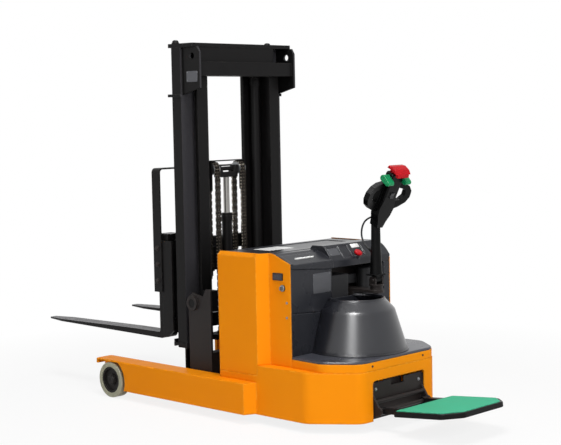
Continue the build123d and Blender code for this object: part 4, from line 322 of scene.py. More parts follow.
# Bare aluminium plate: brushed along its length and dulled by its oxide, with a soft even sheen.
finishes["bare_plate"] = surface(
    "brushed_aluminium_plate", light="5E5F63", dark="4C4D51", worn="8A8B8F", roughness=0.42,
    patch_mm=8, grain_mm=3, grain_depth_mm=0.02, edge_mm=2, stretch=(0.08, 1, 1), metallic=0.6)
print(len(finishes), "finishes in all")

# %% [markdown]
# ## Lightened rails, fork blades and deck
# The sliding uprights are painted a paler grey on their front and rear flanges: painted light, lifting
# the shade between the uprights. The tops of the forks are grey, partly from pallets scraping them and
# partly as painted light on their lit tops. Such faces could be picked by hand, but they are the ones
# that face front and rear on the uprights and up on the forks, so a copy of the mast enamel takes a
# second colour from the face's own direction. The deck is paler all over, a painted sheen for the
# highlight along its lip, so it gets a plain finish of its own.

# %% Lightened finishes
LIGHTENED_FACING = (0.7, 0.95)


def lightened_enamel(name, axis, grey):
    """A copy of the mast enamel, painted a lighter grey on faces that look along one axis."""
    material = finishes["mast_paint"].copy()
    material.name = name
    tree = material.node_tree
    skin = next(node for node in tree.nodes if node.type == "BSDF_PRINCIPLED")
    enamel = skin.inputs["Base Color"].links[0].from_socket
    facing = add(tree, "ShaderNodeSeparateXYZ",
                 vector=add(tree, "ShaderNodeNewGeometry").outputs["True Normal"])
    along = add(tree, "ShaderNodeMath", {"operation": "ABSOLUTE"}, i0=facing.outputs[axis])
    share = add(tree, "ShaderNodeMapRange", value=along.outputs["Value"],
                from_min=LIGHTENED_FACING[0], from_max=LIGHTENED_FACING[1])
    colour = add(tree, "ShaderNodeMix", {"data_type": "RGBA"}, i0=share.outputs["Result"],
                 i6=enamel, i7=linear(grey))
    tree.links.new(colour.outputs[2], skin.inputs["Base Color"])
    return material


# Painted light on the rails: a little paler than the mast. Fork tops: plainly grey, partly pallet wear
# and partly painted light.
rail_light_enamel = lightened_enamel("rail_enamel_painted_light", "Y", "343336")
blade_wear_and_light_enamel = lightened_enamel("fork_enamel_wear_and_painted_light", "Z", "5A595B")
# The covers' grained ABS, paler and less deep than the covers beside it: a painted sheen for the
# highlight along the deck's lip.
deck_sheen_abs = surface(
    "deck_abs_painted_sheen", light="45464E", dark="393A41", worn="55565E", roughness=0.3,
    patch_mm=260, grain_mm=2, grain_depth_mm=0.03, edge_mm=9, specular_ior_level=0.24)
light_and_wear_pieces = {"deck_cover": deck_sheen_abs}
for side_name in ("left", "right"):
    light_and_wear_pieces[f"{side_name}_moving_upright"] = rail_light_enamel
    light_and_wear_pieces[f"{side_name}_fork"] = blade_wear_and_light_enamel
print("rubbed finishes on", ", ".join(light_and_wear_pieces))

# %% [markdown]
# ## Paint the solids
# The model's record names the material of each piece. A painter could pick each object in turn, but a
# loop over the record gives every solid its finish and misses none. Pieces with painted light, the
# fork blades also with their wear, take their own finish instead.

# %% Paint the solids
slot_of = {row["node"]: row["material_slot"] for row in frame["record"]["subparts"]}
for name, solid in frame["nodes"].items():
    solid.data.materials.clear()
    solid.data.materials.append(light_and_wear_pieces.get(name, finishes[slot_of[name]]))
print("finishes on", len(slot_of), "solids")

# %% [markdown]
# ## Mesh helpers
# Plates, bolts and chain links are prisms, and screws, caps and collars are turned shapes. A prism
# could come from extruding a face and a turned shape from the Spin tool, but both are only rings of
# points joined by faces, so short helpers build them in a bmesh. The last helper makes the object,
# gives it a finish and sets the smooth edges.

# %% Mesh helpers
SMOOTH_DEGREES = 35


def prism(mesh, outline, push):
    """Closed prism: the outline's points pushed along a vector. Gives back its faces."""
    near = [mesh.verts.new(point) for point in outline]
    far = [mesh.verts.new(point + push) for point in outline]
    faces = [mesh.faces.new(list(reversed(near))), mesh.faces.new(far)]
    for step in range(len(outline)):
        follow = (step + 1) % len(outline)
        faces.append(mesh.faces.new((near[step], near[follow], far[follow], far[step])))
    return faces


def ring(centre, axis, radius, sides):
    """Points of a regular outline round an axis."""
    reach = axis.orthogonal().normalized() * radius
    return [centre + Matrix.Rotation(math.tau * step / sides, 3, axis) @ reach
            for step in range(sides)]


def turned(mesh, base, out, profile_mm, sides, bored=False):
    """Closed turned shape from pairs of height and radius; a bored one ends where it starts."""
    loops = []
    for high, radius in profile_mm:
        points = ring(base + out * high / 1000, out, radius / 1000, sides)
        loops.append([mesh.verts.new(point) for point in points])
    for lower, upper in zip(loops, loops[1:] + loops[:1] if bored else loops[1:]):
        for step in range(sides):
            follow = (step + 1) % sides
            mesh.faces.new((lower[step], lower[follow], upper[follow], upper[step]))
    if not bored:
        mesh.faces.new(list(reversed(loops[0])))
        mesh.faces.new(loops[-1])


def finish_piece(name, mesh, finish, body, smooth_degrees=SMOOTH_DEGREES):
    """Turn the bmesh into an object with that finish, riding on that body if there is one."""
    bmesh.ops.recalc_face_normals(mesh, faces=mesh.faces)
    data = bpy.data.meshes.new(name)
    mesh.to_mesh(data)
    mesh.free()
    data.materials.append(finishes[finish])
    data.shade_smooth()
    data.set_sharp_from_angle(angle=math.radians(smooth_degrees))
    piece = bpy.data.objects.new(name, data)
    bpy.context.collection.objects.link(piece)
    if body:
        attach(piece, body)
    return piece


print("helpers ready, edges over", SMOOTH_DEGREES, "degrees stay sharp")

# %% [markdown]
# ## Control cable
# A thick sheathed cable leaves a gland behind the tiller head, hangs in a loop in front of the arm and
# goes into a second gland near the arm's foot. A NURBS curve with a round bevel follows its route
# smoothly, so it stays a cable at any zoom, and its control points are the bends of the route.

# %% Control cable
CABLE_RADIUS_MM = 5
CABLE_ROUNDNESS = 5
TILLER_ACROSS = 160
CABLE_ROUTE = ((298, 1089), (344, 1076), (379, 1037), (389, 982), (370, 934), (332, 907))

cable_curve = bpy.data.curves.new("control_cable", "CURVE")
cable_curve.dimensions = "3D"
cable_curve.bevel_depth = CABLE_RADIUS_MM / 1000
cable_curve.bevel_resolution = CABLE_ROUNDNESS
cable_curve.use_fill_caps = True
run = cable_curve.splines.new("NURBS")
run.points.add(len(CABLE_ROUTE) - 1)
for point, (ahead, up) in zip(run.points, CABLE_ROUTE):
    point.co = (*spot(TILLER_ACROSS, ahead, up), 1)
run.order_u = 3
run.use_endpoint_u = True
cable_curve.materials.append(finishes["cable_rubber"])
cable = bpy.data.objects.new("control_cable", cable_curve)
bpy.context.collection.objects.link(cable)
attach(cable, "tiller_arm")
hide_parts("tiller_cable")

# %% [markdown]
# ## Leaf chains
# The fork carriage hangs from two leaf chains that go over sheaves on the crosshead. A leaf chain is
# packs of eight-shaped plates on pins, three plates in one pitch and two in the next. An array
# modifier could repeat a link, but the chain also bends round the sheave, so a loop lays the packs
# between a list of pin centres, straight or round.

# %% Leaf chain plates and pins
PITCH_MM = 19.05
PLATE_HALF_MM = 8.2
PLATE_WAIST_MM = 6.6
PLATE_THICK_MM = 3.6
PIN_RADIUS_MM = 4.2
PIN_SIDES = 8
CHAIN_HALF_MM = 18
OUTER_PLATES = (-15, 0, 15)
INNER_PLATES = (-9, 9)
ROUND_STEPS = 4


def link_plate(mesh, start, end, across_mm):
    """One chain plate between two pins, with round ends and a waist."""
    along = (end - start).normalized()
    side = along.cross(RIGHT)
    outline = []
    for centre, heading in ((start, 1), (end, -1)):
        for step in range(ROUND_STEPS + 1):
            angle = math.pi * step / ROUND_STEPS
            reach = side * math.cos(angle) * heading - along * math.sin(angle) * heading
            outline.append(centre + reach * PLATE_HALF_MM / 1000)
        outline.append((start + end) / 2 - side * heading * PLATE_WAIST_MM / 1000)
    shift = RIGHT * (across_mm - PLATE_THICK_MM / 2) / 1000
    prism(mesh, [point + shift for point in outline], RIGHT * PLATE_THICK_MM / 1000)


def chain_run(mesh, joints):
    """Plates and pins along a list of pin centres; the pins take the second finish."""
    pin = RIGHT * CHAIN_HALF_MM / 1000
    for number, (start, end) in enumerate(zip(joints, joints[1:])):
        for across in OUTER_PLATES if number % 2 else INNER_PLATES:
            link_plate(mesh, start, end, across)
    for joint in joints:
        for face in prism(mesh, ring(joint - pin, RIGHT, PIN_RADIUS_MM / 1000, PIN_SIDES), 2 * pin):
            face.material_index = 1


print("plates of", PLATE_THICK_MM, "mm on pins of", 2 * PIN_RADIUS_MM, "mm")

# %% Leaf chain runs
CHAIN_ACROSS = 104
SHEAVE_AHEAD = 1298
SHEAVE_UP = 1345
CHAIN_RADIUS = 38
SEAT_UP = 375
ANCHOR_UP = 765


def straight_joints(across, ahead, low, high):
    """Pin centres of a straight run, spread evenly near the true pitch."""
    count = round((high - low) / PITCH_MM)
    return [spot(across, ahead, low + (high - low) * step / count) for step in range(count + 1)]


def wrap_joints(across):
    """Pin centres over the top of a sheave."""
    count = round(math.pi * CHAIN_RADIUS / PITCH_MM)
    angles = [math.pi * step / count for step in range(count + 1)]
    return [spot(across, SHEAVE_AHEAD - CHAIN_RADIUS * math.cos(angle),
                 SHEAVE_UP + CHAIN_RADIUS * math.sin(angle)) for angle in angles]


rear_links, front_links, wrap_links = bmesh.new(), bmesh.new(), bmesh.new()
for side in SIDES:
    across = side * CHAIN_ACROSS
    chain_run(rear_links,
              straight_joints(across, SHEAVE_AHEAD - CHAIN_RADIUS, SEAT_UP, SHEAVE_UP))
    chain_run(front_links,
              straight_joints(across, SHEAVE_AHEAD + CHAIN_RADIUS, ANCHOR_UP, SHEAVE_UP))
    chain_run(wrap_links, wrap_joints(across))
rear_chain = finish_piece("rear_chain_links", rear_links, "chain_steel", None)
front_chain = finish_piece("front_chain_links", front_links, "chain_steel", None)
wrap_chain = finish_piece("sheave_chain_links", wrap_links, "chain_steel", "crosshead")
chains = (rear_chain, front_chain, wrap_chain)
# The pins' second finish is pale, painted highlight for the glints along the chain.
for chain in chains:
    chain.data.materials.append(finishes["chain_pins"])
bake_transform(rear_chain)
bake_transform(front_chain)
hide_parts("rear_chains")
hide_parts("front_chains")
print("chain faces:", sum(len(chain.data.polygons) for chain in chains))

# %% [markdown]
# ## Bolts and screws
# Frame bolts are hexagon heads on washers, with the corners of the head turned off. Covers are held by
# low round heads with a socket. A real thread could be cut with the Screw modifier, but only the heads
# are seen. Each is set on the face that it holds, and each group is one mesh, so a dozen bolts cost
# one object.

# %% Fastener shapes
# Sizes of a head are shares of its size across the corners, so one function makes every bolt.
WASHER_MM = 1.5
WASHER_RADIUS = 0.7
HEAD_HEIGHT = 0.3
HEAD_CROWN = ((0, 0.42), (0.05, 0.36))
PAN_HEAD = ((0.0, 0.5), (0.16, 0.48), (0.28, 0.38), (0.3, 0.18), (0.12, 0.16))


def sized(profile, size_mm):
    """A profile of shares as millimetres."""
    return [(high * size_mm, radius * size_mm) for high, radius in profile]


def hex_bolt(mesh, place, out, size_mm):
    """Hexagon bolt on a washer; size is across its corners."""
    washer = size_mm * WASHER_RADIUS
    turned(mesh, place, out, ((0, washer), (WASHER_MM, washer)), sides=18)
    head = place + out * WASHER_MM / 1000
    rise = out * size_mm * HEAD_HEIGHT / 1000
    prism(mesh, ring(head, out, size_mm / 2000, sides=6), rise)
    turned(mesh, head + rise, out, sized(HEAD_CROWN, size_mm), sides=12)


def pan_screw(mesh, place, out, size_mm):
    """Low round screw head with a socket in its top."""
    turned(mesh, place, out, sized(PAN_HEAD, size_mm), sides=16)


print("bolts stand", WASHER_MM, "mm off the face on their washers")

# %% Chassis fasteners
RIM_BOLT_MM, RIM_BOLT_UP = 9, 342
RIM_BOLTS = (-218, 204)
PANEL_SCREW_MM, PANEL_OUT = 14, 414
PANEL_SCREWS = ((420, 662), (422, 582))
BRACKET_BOLT_MM, BRACKET_AHEAD = 13, 12
BRACKET_BOLTS = ((-180, 88), (180, 88), (-180, 214), (180, 214))

rim_bolts = bmesh.new()
for across in RIM_BOLTS:
    hex_bolt(rim_bolts, spot(across, 0, RIM_BOLT_UP), -AHEAD, RIM_BOLT_MM)
finish_piece("rim_bolts", rim_bolts, "frame_paint", "chassis")

panel_screws = bmesh.new()
for side in SIDES:
    for ahead, up in PANEL_SCREWS:
        pan_screw(panel_screws, spot(side * PANEL_OUT, ahead, up), RIGHT * side, PANEL_SCREW_MM)
finish_piece("panel_screws", panel_screws, "roller_steel", "chassis")

bracket_bolts = bmesh.new()
for across, up in BRACKET_BOLTS:
    hex_bolt(bracket_bolts, spot(across, BRACKET_AHEAD, up), -AHEAD, BRACKET_BOLT_MM)
finish_piece("platform_bracket_bolts", bracket_bolts, "roller_steel", "chassis")
print(len(RIM_BOLTS), "rim bolts and", len(BRACKET_BOLTS), "bracket bolts set")

# %% Backrest bolts
HOOP_BOLT_MM = 24
HOOP_OUT = 410
HOOP_AHEAD = 1460
HOOP_BOLTS = (705, 800, 895)

hoop_bolts = bmesh.new()
for side in SIDES:
    for up in HOOP_BOLTS:
        hex_bolt(hoop_bolts, spot(side * HOOP_OUT, HOOP_AHEAD, up), RIGHT * side, HOOP_BOLT_MM)
finish_piece("backrest_bolts", hoop_bolts, "frame_paint", "fork_carriage")
print(len(HOOP_BOLTS), "bolts on each side of the backrest")

# %% [markdown]
# ## Hub caps
# A pressed cap keeps dirt out of each load wheel's bearing. It is round, so it could start from a
# cylinder with a bevel, but its rolled rim and dished middle are easier to write as a profile and turn
# about the axle. Each cap rides on its own wheel and turns with it.

# %% Hub caps
WHEEL_AHEAD, WHEEL_UP = 1757, 106
BOSS_OUT = 540
HUB_CAP = ((0, 27), (3, 27), (6, 24), (7, 14), (6, 12))

for side, body in zip(SIDES, ("left_wheel", "right_wheel")):
    hub_cap = bmesh.new()
    turned(hub_cap, spot(side * BOSS_OUT, WHEEL_AHEAD, WHEEL_UP), RIGHT * side, HUB_CAP, sides=28)
    finish_piece(f"{body}_cap", hub_cap, "hub_iron", body)
print("hub caps", 2 * HUB_CAP[0][1], "mm wide")

# %% [markdown]
# ## Chain anchors
# A leaf chain ends in a clevis, and the clevis's stud goes through its seat to a pair of nuts that set
# the chain's tension. It could be one lathe part with flats cut by booleans, but a block, a turned
# stud and two six-sided prisms look the same and need no cutting.

# %% Chain anchors
CLEVIS_HALF_MM = (20, 11)
CLEVIS_HIGH_MM = 20
STUD = ((0, 9), (44, 9), (46, 7))
NUT_RADIUS_MM, NUT_HIGH_MM = 16, 13
NUT_DROPS = (0, 15)
CORNERS = ((-1, -1), (1, -1), (1, 1), (-1, 1))
CARRIAGE_SEAT_LOW = 740
MAST_SEAT_LOW = 345


def chain_anchor(mesh, foot, seat_low_mm):
    """Clevis on a seat, with its stud and two nuts under the seat."""
    wide, deep = (size / 1000 for size in CLEVIS_HALF_MM)
    corners = [foot + RIGHT * wide * across + AHEAD * deep * ahead for across, ahead in CORNERS]
    prism(mesh, corners, UP * CLEVIS_HIGH_MM / 1000)
    under = Vector((foot.x, foot.y, seat_low_mm / 1000))
    turned(mesh, under, -UP, STUD, sides=14)
    for drop in NUT_DROPS:
        nut = ring(under - UP * drop / 1000, UP, NUT_RADIUS_MM / 1000, sides=6)
        prism(mesh, nut, -UP * NUT_HIGH_MM / 1000)


carriage_anchors, mast_anchors = bmesh.new(), bmesh.new()
for side in SIDES:
    chain_anchor(carriage_anchors, spot(side * CHAIN_ACROSS, SHEAVE_AHEAD + CHAIN_RADIUS, ANCHOR_UP),
                 CARRIAGE_SEAT_LOW)
    chain_anchor(mast_anchors, spot(side * CHAIN_ACROSS, SHEAVE_AHEAD - CHAIN_RADIUS, SEAT_UP),
                 MAST_SEAT_LOW)
finish_piece("carriage_chain_anchors", carriage_anchors, "chain_steel", "fork_carriage")
finish_piece("mast_chain_anchors", mast_anchors, "chain_steel", "moving_mast")
print("chain anchors hang", STUD[-1][0], "mm under their seats")

# %% [markdown]
# ## Cylinder glands
# Each lift cylinder ends in a screwed gland that guides its rod and wipes it clean. It is a ring with a
# groove for the spanner. A boolean could bore a solid ring, but a closed profile that runs up the
# outside and back down the bore turns into the whole ring at once.

# %% Cylinder glands
LIFT_CYLINDERS = ((-215, 1258), (215, 1258))
LIFT_BARREL_TOP = 1880
FREE_BARREL_TOP = 1080
ROD_RADII = {"lift": 20, "free": 18}
GLAND_OUTSIDE = ((0, 33.5), (-10, 33.5), (-10, 31.5), (-14, 31.5), (-14, 33.5), (-46, 33.5))
GLAND_BORE = ((-46, 29), (-1, 29))
WIPER_GAP_MM = 0.4
WIPER_RIM = (3, 30)


def gland(mesh, top, rod_mm):
    """Grooved gland ring over a barrel's end, with a wiper lip round the rod."""
    lip = rod_mm + WIPER_GAP_MM
    wiper = ((GLAND_BORE[-1][0], lip), (WIPER_RIM[0], lip), WIPER_RIM)
    turned(mesh, top, UP, GLAND_OUTSIDE + GLAND_BORE + wiper, sides=28, bored=True)


lift_glands, free_gland = bmesh.new(), bmesh.new()
for across, ahead in LIFT_CYLINDERS:
    gland(lift_glands, spot(across, ahead, LIFT_BARREL_TOP), ROD_RADII["lift"])
gland(free_gland, spot(0, SHEAVE_AHEAD, FREE_BARREL_TOP), ROD_RADII["free"])
finish_piece("lift_cylinder_glands", lift_glands, "mast_paint", "fixed_mast")
finish_piece("free_lift_gland", free_gland, "mast_paint", "moving_mast")
print("glands leave", WIPER_GAP_MM, "mm round each rod")

# %% [markdown]
# ## Cap nuts on the mast
# A domed cap nut closes the stud at each end of the mast's top plate, so that no thread is left bare
# to the rain. A sphere on a cylinder would do, but one turned profile gives the flange, the body and
# the dome without a seam.

# %% Cap nuts on the mast
TOP_STUD = (372, 1300, 2068)
CAP_NUT = ((0, 22), (8, 22), (9, 18), (16, 17.5), (20, 13), (22, 6))

cap_nuts = bmesh.new()
for side in SIDES:
    turned(cap_nuts, spot(side * TOP_STUD[0], *TOP_STUD[1:]), UP, CAP_NUT, sides=24)
finish_piece("mast_cap_nuts", cap_nuts, "mast_paint", "moving_mast")
print("cap nuts stand", CAP_NUT[-1][0], "mm high")

# %% [markdown]
# ## Weld beads
# The legs, gussets and mast beam are welded on. A weld bead is a rounded ripple of metal in the corner
# between two plates. A bevelled curve would be too even, so the bead is a row of rings whose radius
# rises and falls with each drop of metal, painted over with the frame.

# %% Weld beads
DROP_MM = 7
BEAD_MM = 4
RIPPLE = 0.82
LEAST_RINGS = 4
BEAD_SMOOTH_DEGREES = 60
LEG_BEAD = (480, 596, (58, 222))
GUSSET_BEAD = (388, 1232, (1782, 2040))
BEAM_BEAD = (376, 1100, (1886, 1959))
REACH_BEAD = (404, 1060, (104, 326))


def weld_bead(mesh, start, end):
    """Rippled bead along a line."""
    along = end - start
    count = max(LEAST_RINGS, 2 * round(along.length * 1000 / DROP_MM))
    profile = [(along.length * 1000 * step / count, BEAD_MM * (RIPPLE if step % 2 else 1.0))
               for step in range(count + 1)]
    turned(mesh, start, along.normalized(), profile, sides=8)


leg_welds, mast_welds, reach_welds = bmesh.new(), bmesh.new(), bmesh.new()
beads = ((leg_welds, LEG_BEAD), (mast_welds, GUSSET_BEAD), (mast_welds, BEAM_BEAD),
         (reach_welds, REACH_BEAD))
for side in SIDES:
    for mesh, (across, ahead, (low, high)) in beads:
        weld_bead(mesh, spot(side * across, ahead, low), spot(side * across, ahead, high))
finish_piece("leg_welds", leg_welds, "orange_paint", "chassis", BEAD_SMOOTH_DEGREES)
finish_piece("mast_welds", mast_welds, "mast_paint", "moving_mast", BEAD_SMOOTH_DEGREES)
finish_piece("reach_frame_welds", reach_welds, "frame_paint", "reach_carriage", BEAD_SMOOTH_DEGREES)
print(len(SIDES) * len(beads), "weld beads laid with drops of", DROP_MM, "mm")

# %% [markdown]
# ## Bare plates
# A truck carries a riveted aluminium plate on its rear cover and a small one on the mast. They stay
# blank here. A cube with bevelled corners could stand for a plate, but an outline with round corners,
# drawn in the plane of the face and pushed out a little, lies on a face of any slope.

# %% Flat plates
PLATE_MM = 1.2
PLATE_CORNER_MM = 6
RIVET_MM = 6
RIVET_INSET_MM = 8
COVER_PLATE, COVER_PLATE_SIZE = (-163, 395, 747), (142, 108)
MAST_PLATE, MAST_PLATE_SIZE = (-388, 1150, 1880), (90, 60)


def rounded_outline(centre, right, up, size_mm, radius_mm):
    """Outline of a plate with round corners in the plane of two directions."""
    half_width, half_height = (size / 2 - radius_mm for size in size_mm)
    outline = []
    for corner in range(4):
        across = half_width * (1 if corner in (0, 3) else -1)
        rise = half_height * (1 if corner in (0, 1) else -1)
        for step in range(ROUND_STEPS + 1):
            angle = math.pi / 2 * (corner + step / ROUND_STEPS)
            reach = (across + radius_mm * math.cos(angle), rise + radius_mm * math.sin(angle))
            outline.append(centre + (right * reach[0] + up * reach[1]) / 1000)
    return outline


def riveted_plate(mesh, centre, right, up, size_mm):
    """Thin plate with a rivet near each corner."""
    thick = right.cross(up) * PLATE_MM / 1000
    prism(mesh, rounded_outline(centre, right, up, size_mm, PLATE_CORNER_MM), thick)
    half_width, half_height = (size / 2 - RIVET_INSET_MM for size in size_mm)
    for across in SIDES:
        for rise in SIDES:
            shift = right * across * half_width + up * rise * half_height
            pan_screw(mesh, centre + shift / 1000 + thick, right.cross(up), RIVET_MM)


cover_plate = bmesh.new()
riveted_plate(cover_plate, spot(*COVER_PLATE), RIGHT, UP, COVER_PLATE_SIZE)
finish_piece("blank_cover_plate", cover_plate, "bare_plate", "chassis")
mast_plate = bmesh.new()
riveted_plate(mast_plate, spot(*MAST_PLATE), -AHEAD, UP, MAST_PLATE_SIZE)
finish_piece("blank_mast_plate", mast_plate, "bare_plate", "moving_mast")
print("blank plates of", COVER_PLATE_SIZE, "and", MAST_PLATE_SIZE, "mm riveted on")

# %% [markdown]
# ## White patches of painted reflection
# Two white patches brighten the hood and the dash pod. They are painted reflection, where those glossy
# tops shine white. A patch could be a second material on the cover's own faces, but those faces belong
# to the solid, so each patch is a thin sheet laid on top.

# %% White patches of painted reflection
REFLECTION_SHEET_MM = 0.4
HOOD_REFLECTION, HOOD_REFLECTION_SIZE, HOOD_REFLECTION_CORNER = (-170, 748, 913), (200, 130), 6
POD_REFLECTION_ACROSS, POD_REFLECTION_RISE = 170, 84
POD_REFLECTION_SIZE, POD_REFLECTION_CORNER = (66, 26), 4
POD_FOOT, POD_CREST = Vector((0, 395, 853)), Vector((0, 461, 935))

# Painted reflection and highlight: a flat, even white, so that it reads as paper-white against the dark
# covers.
finishes["painted_highlight_white"] = surface(
    "white_painted_reflection", light="F2F2F0", dark="EAEAE8", worn="FFFFFF", roughness=0.35,
    patch_mm=60, grain_mm=4, grain_depth_mm=0.01, edge_mm=1, specular_ior_level=0.3)
pod_up = (POD_CREST - POD_FOOT).normalized()
pod_out = RIGHT.cross(pod_up)


def pod_spot(across, rise_mm):
    """A place on the pod's slope, up from its foot."""
    place = POD_FOOT + pod_up * rise_mm
    return spot(across, place.y, place.z)


# The hood and pod patches are painted reflection: white sheets where those tops shine.
reflection_patches = bmesh.new()
prism(reflection_patches, rounded_outline(spot(*HOOD_REFLECTION), RIGHT, AHEAD, HOOD_REFLECTION_SIZE, HOOD_REFLECTION_CORNER),
      UP * REFLECTION_SHEET_MM / 1000)
prism(reflection_patches, rounded_outline(pod_spot(POD_REFLECTION_ACROSS, POD_REFLECTION_RISE), RIGHT, pod_up,
                              POD_REFLECTION_SIZE, POD_REFLECTION_CORNER), pod_out * REFLECTION_SHEET_MM / 1000)
finish_piece("painted_reflection_patches", reflection_patches, "painted_highlight_white", "chassis")
print("plain labels of", HOOD_REFLECTION_SIZE, "and", POD_REFLECTION_SIZE, "mm laid")

# %% [markdown]
# ## Display window and key trim
# The display on the left panel is a smoked window in a bezel, with a row of small dark lamps behind
# it, and the key switch below has a turned steel collar. Glass could be modelled with depth, but at
# this size a dark smooth pane reads as a window, so a thin plate with little roughness is enough.

# %% Display window and key trim
DISPLAY_OUT = 421
DISPLAY_PLACE = (482, 798)
WINDOW_SIZE, WINDOW_CORNER, WINDOW_MM = (58, 26), 3, 0.6
LAMP_COUNT = 5
LAMP_PITCH_MM = 9
LAMP_SIZE, LAMP_CORNER, LAMP_MM = (5, 12), 1.5, 0.5
KEY_PLACE = (449, 739)
KEY_COLLAR_OUT = 420
KEY_TRIM = ((0, 17), (1.5, 17), (2.6, 15), (2.6, 9), (0, 8))

# Smoked acrylic: a dark violet-grey pane, smooth enough to carry a clear reflection.
finishes["display_window"] = surface(
    "smoked_acrylic_window", light="3A3342", dark="2C2733", worn="5A5362", roughness=0.14,
    patch_mm=40, grain_mm=3, grain_depth_mm=0.005, edge_mm=2, specular_ior_level=0.5)
window, lamps, key_trim = bmesh.new(), bmesh.new(), bmesh.new()
window_place = spot(-DISPLAY_OUT, *DISPLAY_PLACE)
prism(window, rounded_outline(window_place, -AHEAD, UP, WINDOW_SIZE, WINDOW_CORNER),
      -RIGHT * WINDOW_MM / 1000)
for number in range(LAMP_COUNT):
    shift = (number - (LAMP_COUNT - 1) / 2) * LAMP_PITCH_MM
    lamp_place = spot(-DISPLAY_OUT - WINDOW_MM, DISPLAY_PLACE[0] + shift, DISPLAY_PLACE[1])
    prism(lamps, rounded_outline(lamp_place, -AHEAD, UP, LAMP_SIZE, LAMP_CORNER),
          -RIGHT * LAMP_MM / 1000)
turned(key_trim, spot(-KEY_COLLAR_OUT, *KEY_PLACE), -RIGHT, KEY_TRIM, sides=28, bored=True)
finish_piece("display_window", window, "display_window", "chassis")
finish_piece("display_lamps", lamps, "rocker_plastic", "chassis")
finish_piece("key_trim", key_trim, "roller_steel", "chassis")
print("display window with", LAMP_COUNT, "lamps")

# %% [markdown]
# ## Dash highlight strip and plate
# A white strip in the slot of the dash is painted highlight, for the light along the dash's ridge, and
# the pod carries a small blank plate. The strip could be a stripe of paint, but it stands a little
# proud of its slot and catches the light along its edge, so it is a bar set into the slot's floor.

# %% Dash highlight strip and plate
FIELD_FOOT, FIELD_CREST = Vector((0, 391, 860)), Vector((0, 486, 905))
SLOT_RISE = 58
SLOT_DEEP = 3
STRIP_ACROSS = -250
STRIP_SIZE, STRIP_CORNER, STRIP_HIGH = (147, 7), 2, 9
POD_PLATE_ACROSS, POD_PLATE_RISE = -22, 58
POD_PLATE_SIZE = (84, 46)

field_up = (FIELD_CREST - FIELD_FOOT).normalized()
field_out = RIGHT.cross(field_up)
strip, pod_plate = bmesh.new(), bmesh.new()
slot_floor = FIELD_FOOT + field_up * SLOT_RISE - field_out * SLOT_DEEP
strip_foot = spot(STRIP_ACROSS, slot_floor.y, slot_floor.z)
prism(strip, rounded_outline(strip_foot, RIGHT, field_up, STRIP_SIZE, STRIP_CORNER),
      field_out * STRIP_HIGH / 1000)
riveted_plate(pod_plate, pod_spot(POD_PLATE_ACROSS, POD_PLATE_RISE), RIGHT, pod_up, POD_PLATE_SIZE)
# The white strip is painted highlight along the dash's ridge.
finish_piece("dash_painted_highlight_strip", strip, "painted_highlight_white", "chassis")
finish_piece("blank_dash_plate", pod_plate, "bare_plate", "chassis")
print("dash strip stands", STRIP_HIGH - SLOT_DEEP, "mm out of its slot")

# %% [markdown]
# ## White surroundings
# The photograph has a plain white background. A brighter world would show white too, but it would wash
# out the truck. So the world is white to the camera and to reflections and quieter to everything else,
# most of the light on the truck comes from two broad lamps, and shapes keep their shade.

# %% World
AMBIENT = 0.36

scene = bpy.context.scene
scene.view_settings.view_transform = "Standard"


def seen_directly(tree):
    """1 for rays that show a picture, from the camera or through a reflection, and 0 for light."""
    rays = add(tree, "ShaderNodeLightPath").outputs
    seen = rays["Is Camera Ray"]
    for kind in ("Is Glossy Ray", "Is Transmission Ray"):
        seen = add(tree, "ShaderNodeMath", {"operation": "ADD", "use_clamp": True},
                   i0=seen, i1=rays[kind]).outputs["Value"]
    return seen


world = bpy.data.worlds.new("white_studio")
scene.world = world
world.use_nodes = True
sky = world.node_tree
sky.nodes.clear()
quiet = add(sky, "ShaderNodeBackground", color=linear("FFFFFF"), strength=AMBIENT)
white = add(sky, "ShaderNodeBackground", color=linear("FFFFFF"), strength=1.0)
seen_sky = add(sky, "ShaderNodeMixShader", i0=seen_directly(sky),
               i1=quiet.outputs[0], i2=white.outputs[0])
add(sky, "ShaderNodeOutputWorld", surface=seen_sky.outputs[0])
print("ambient light", AMBIENT)

# %% [markdown]
# ## Floor
# A truck that throws no shadow seems to float. The floor is white paper that shows a faint shadow near
# the truck and fades to plain white further out, so no horizon shows behind it. A shadow catcher could
# do this in a second picture, but mixing a little of the shaded paper into a white glow needs only one.

# %% Floor
FLOOR_HALF = 40
FLOOR_DROP = 0.001
SHADOW_FADES = (1.7, 3.2)
SHADOW_SHARE = 0.16

floor_mesh = bmesh.new()
bmesh.ops.create_grid(floor_mesh, x_segments=1, y_segments=1, size=FLOOR_HALF)
floor_data = bpy.data.meshes.new("studio_floor")
floor_mesh.to_mesh(floor_data)
floor_mesh.free()
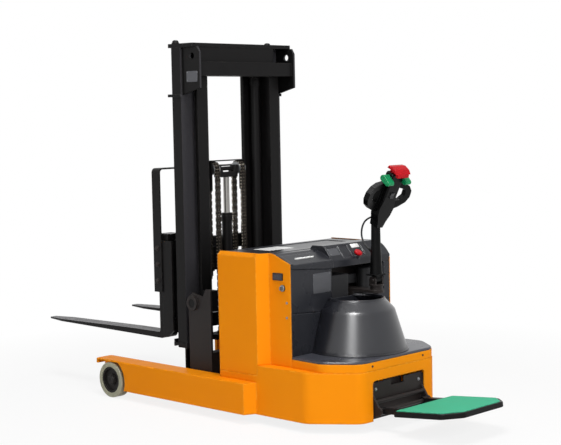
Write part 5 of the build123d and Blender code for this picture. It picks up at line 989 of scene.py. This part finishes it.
# Matt white paper: no gloss, so that it shows only the soft shadow.
floor_finish, floor_tree = empty_material("matt_white_paper")
away = add(floor_tree, "ShaderNodeVectorMath", {"operation": "LENGTH"},
           i0=add(floor_tree, "ShaderNodeTexCoord").outputs["Object"])
plain = add(floor_tree, "ShaderNodeMapRange", value=away.outputs["Value"],
            from_min=SHADOW_FADES[0], from_max=SHADOW_FADES[1])
paper = add(floor_tree, "ShaderNodeBsdfDiffuse", color=linear("F0F0F0"))
glow = add(floor_tree, "ShaderNodeEmission", color=linear("FFFFFF"), strength=1.0)
glow_share = add(floor_tree, "ShaderNodeMapRange", value=plain.outputs["Result"],
                 to_min=1 - SHADOW_SHARE)
shown = add(floor_tree, "ShaderNodeMixShader", i0=glow_share.outputs["Result"],
            i1=paper.outputs[0], i2=glow.outputs[0])
seen_floor = add(floor_tree, "ShaderNodeMixShader", i0=seen_directly(floor_tree),
                 i1=paper.outputs[0], i2=shown.outputs[0])
add(floor_tree, "ShaderNodeOutputMaterial", surface=seen_floor.outputs[0])
floor_data.materials.append(floor_finish)
floor = bpy.data.objects.new("studio_floor", floor_data)
floor.location.z = -FLOOR_DROP
bpy.context.collection.objects.link(floor)
print("floor fades to white from", SHADOW_FADES[0], "m")

# %% [markdown]
# ## Lamps
# The truck was photographed under a bright hazy sky. The key lamp lights its rear, and the top lamp
# its lids and bevels. A sky picture could light it too, but broad lamps are easier to move until each
# face has its own shade. The other three only show in reflections: two draw the streak and the
# highlight on the dome, and the last one the light along upper edges, while colours stay as they are.

# %% Lamps
# Each lamp has its place and its width in metres, its power in watts and its use.
LAMPS = {
    "key_lamp": ((-2.6, -7.2, 3.6), 3.0, 300, "light"),
    "top_lamp": ((-1.7, -1.6, 7.0), 2.5, 235, "light"),
    "streak_lamp": ((-6.1, -3.6, 4.0), 2.2, 190, "gloss"),
    "highlight_lamp": ((-4.1, -2.7, 6.0), 1.6, 760, "gloss"),
    "sky_lamp": ((1.3, 0.9, 6.8), 2.2, 230, "gloss"),
}
LAMP_AIM = Vector((0, 0, 0.9))

for name, (place, width, power, use) in LAMPS.items():
    lamp_data = bpy.data.lights.new(name, "AREA")
    lamp_data.size = width
    lamp_data.energy = power
    lamp = bpy.data.objects.new(name, lamp_data)
    lamp.location = place
    lamp.visible_diffuse = use == "light"
    lamp.visible_glossy = use == "gloss"
    lamp.rotation_euler = (LAMP_AIM - lamp.location).to_track_quat("-Z", "Y").to_euler()
    bpy.context.collection.objects.link(lamp)
print(len(LAMPS), "lamps")
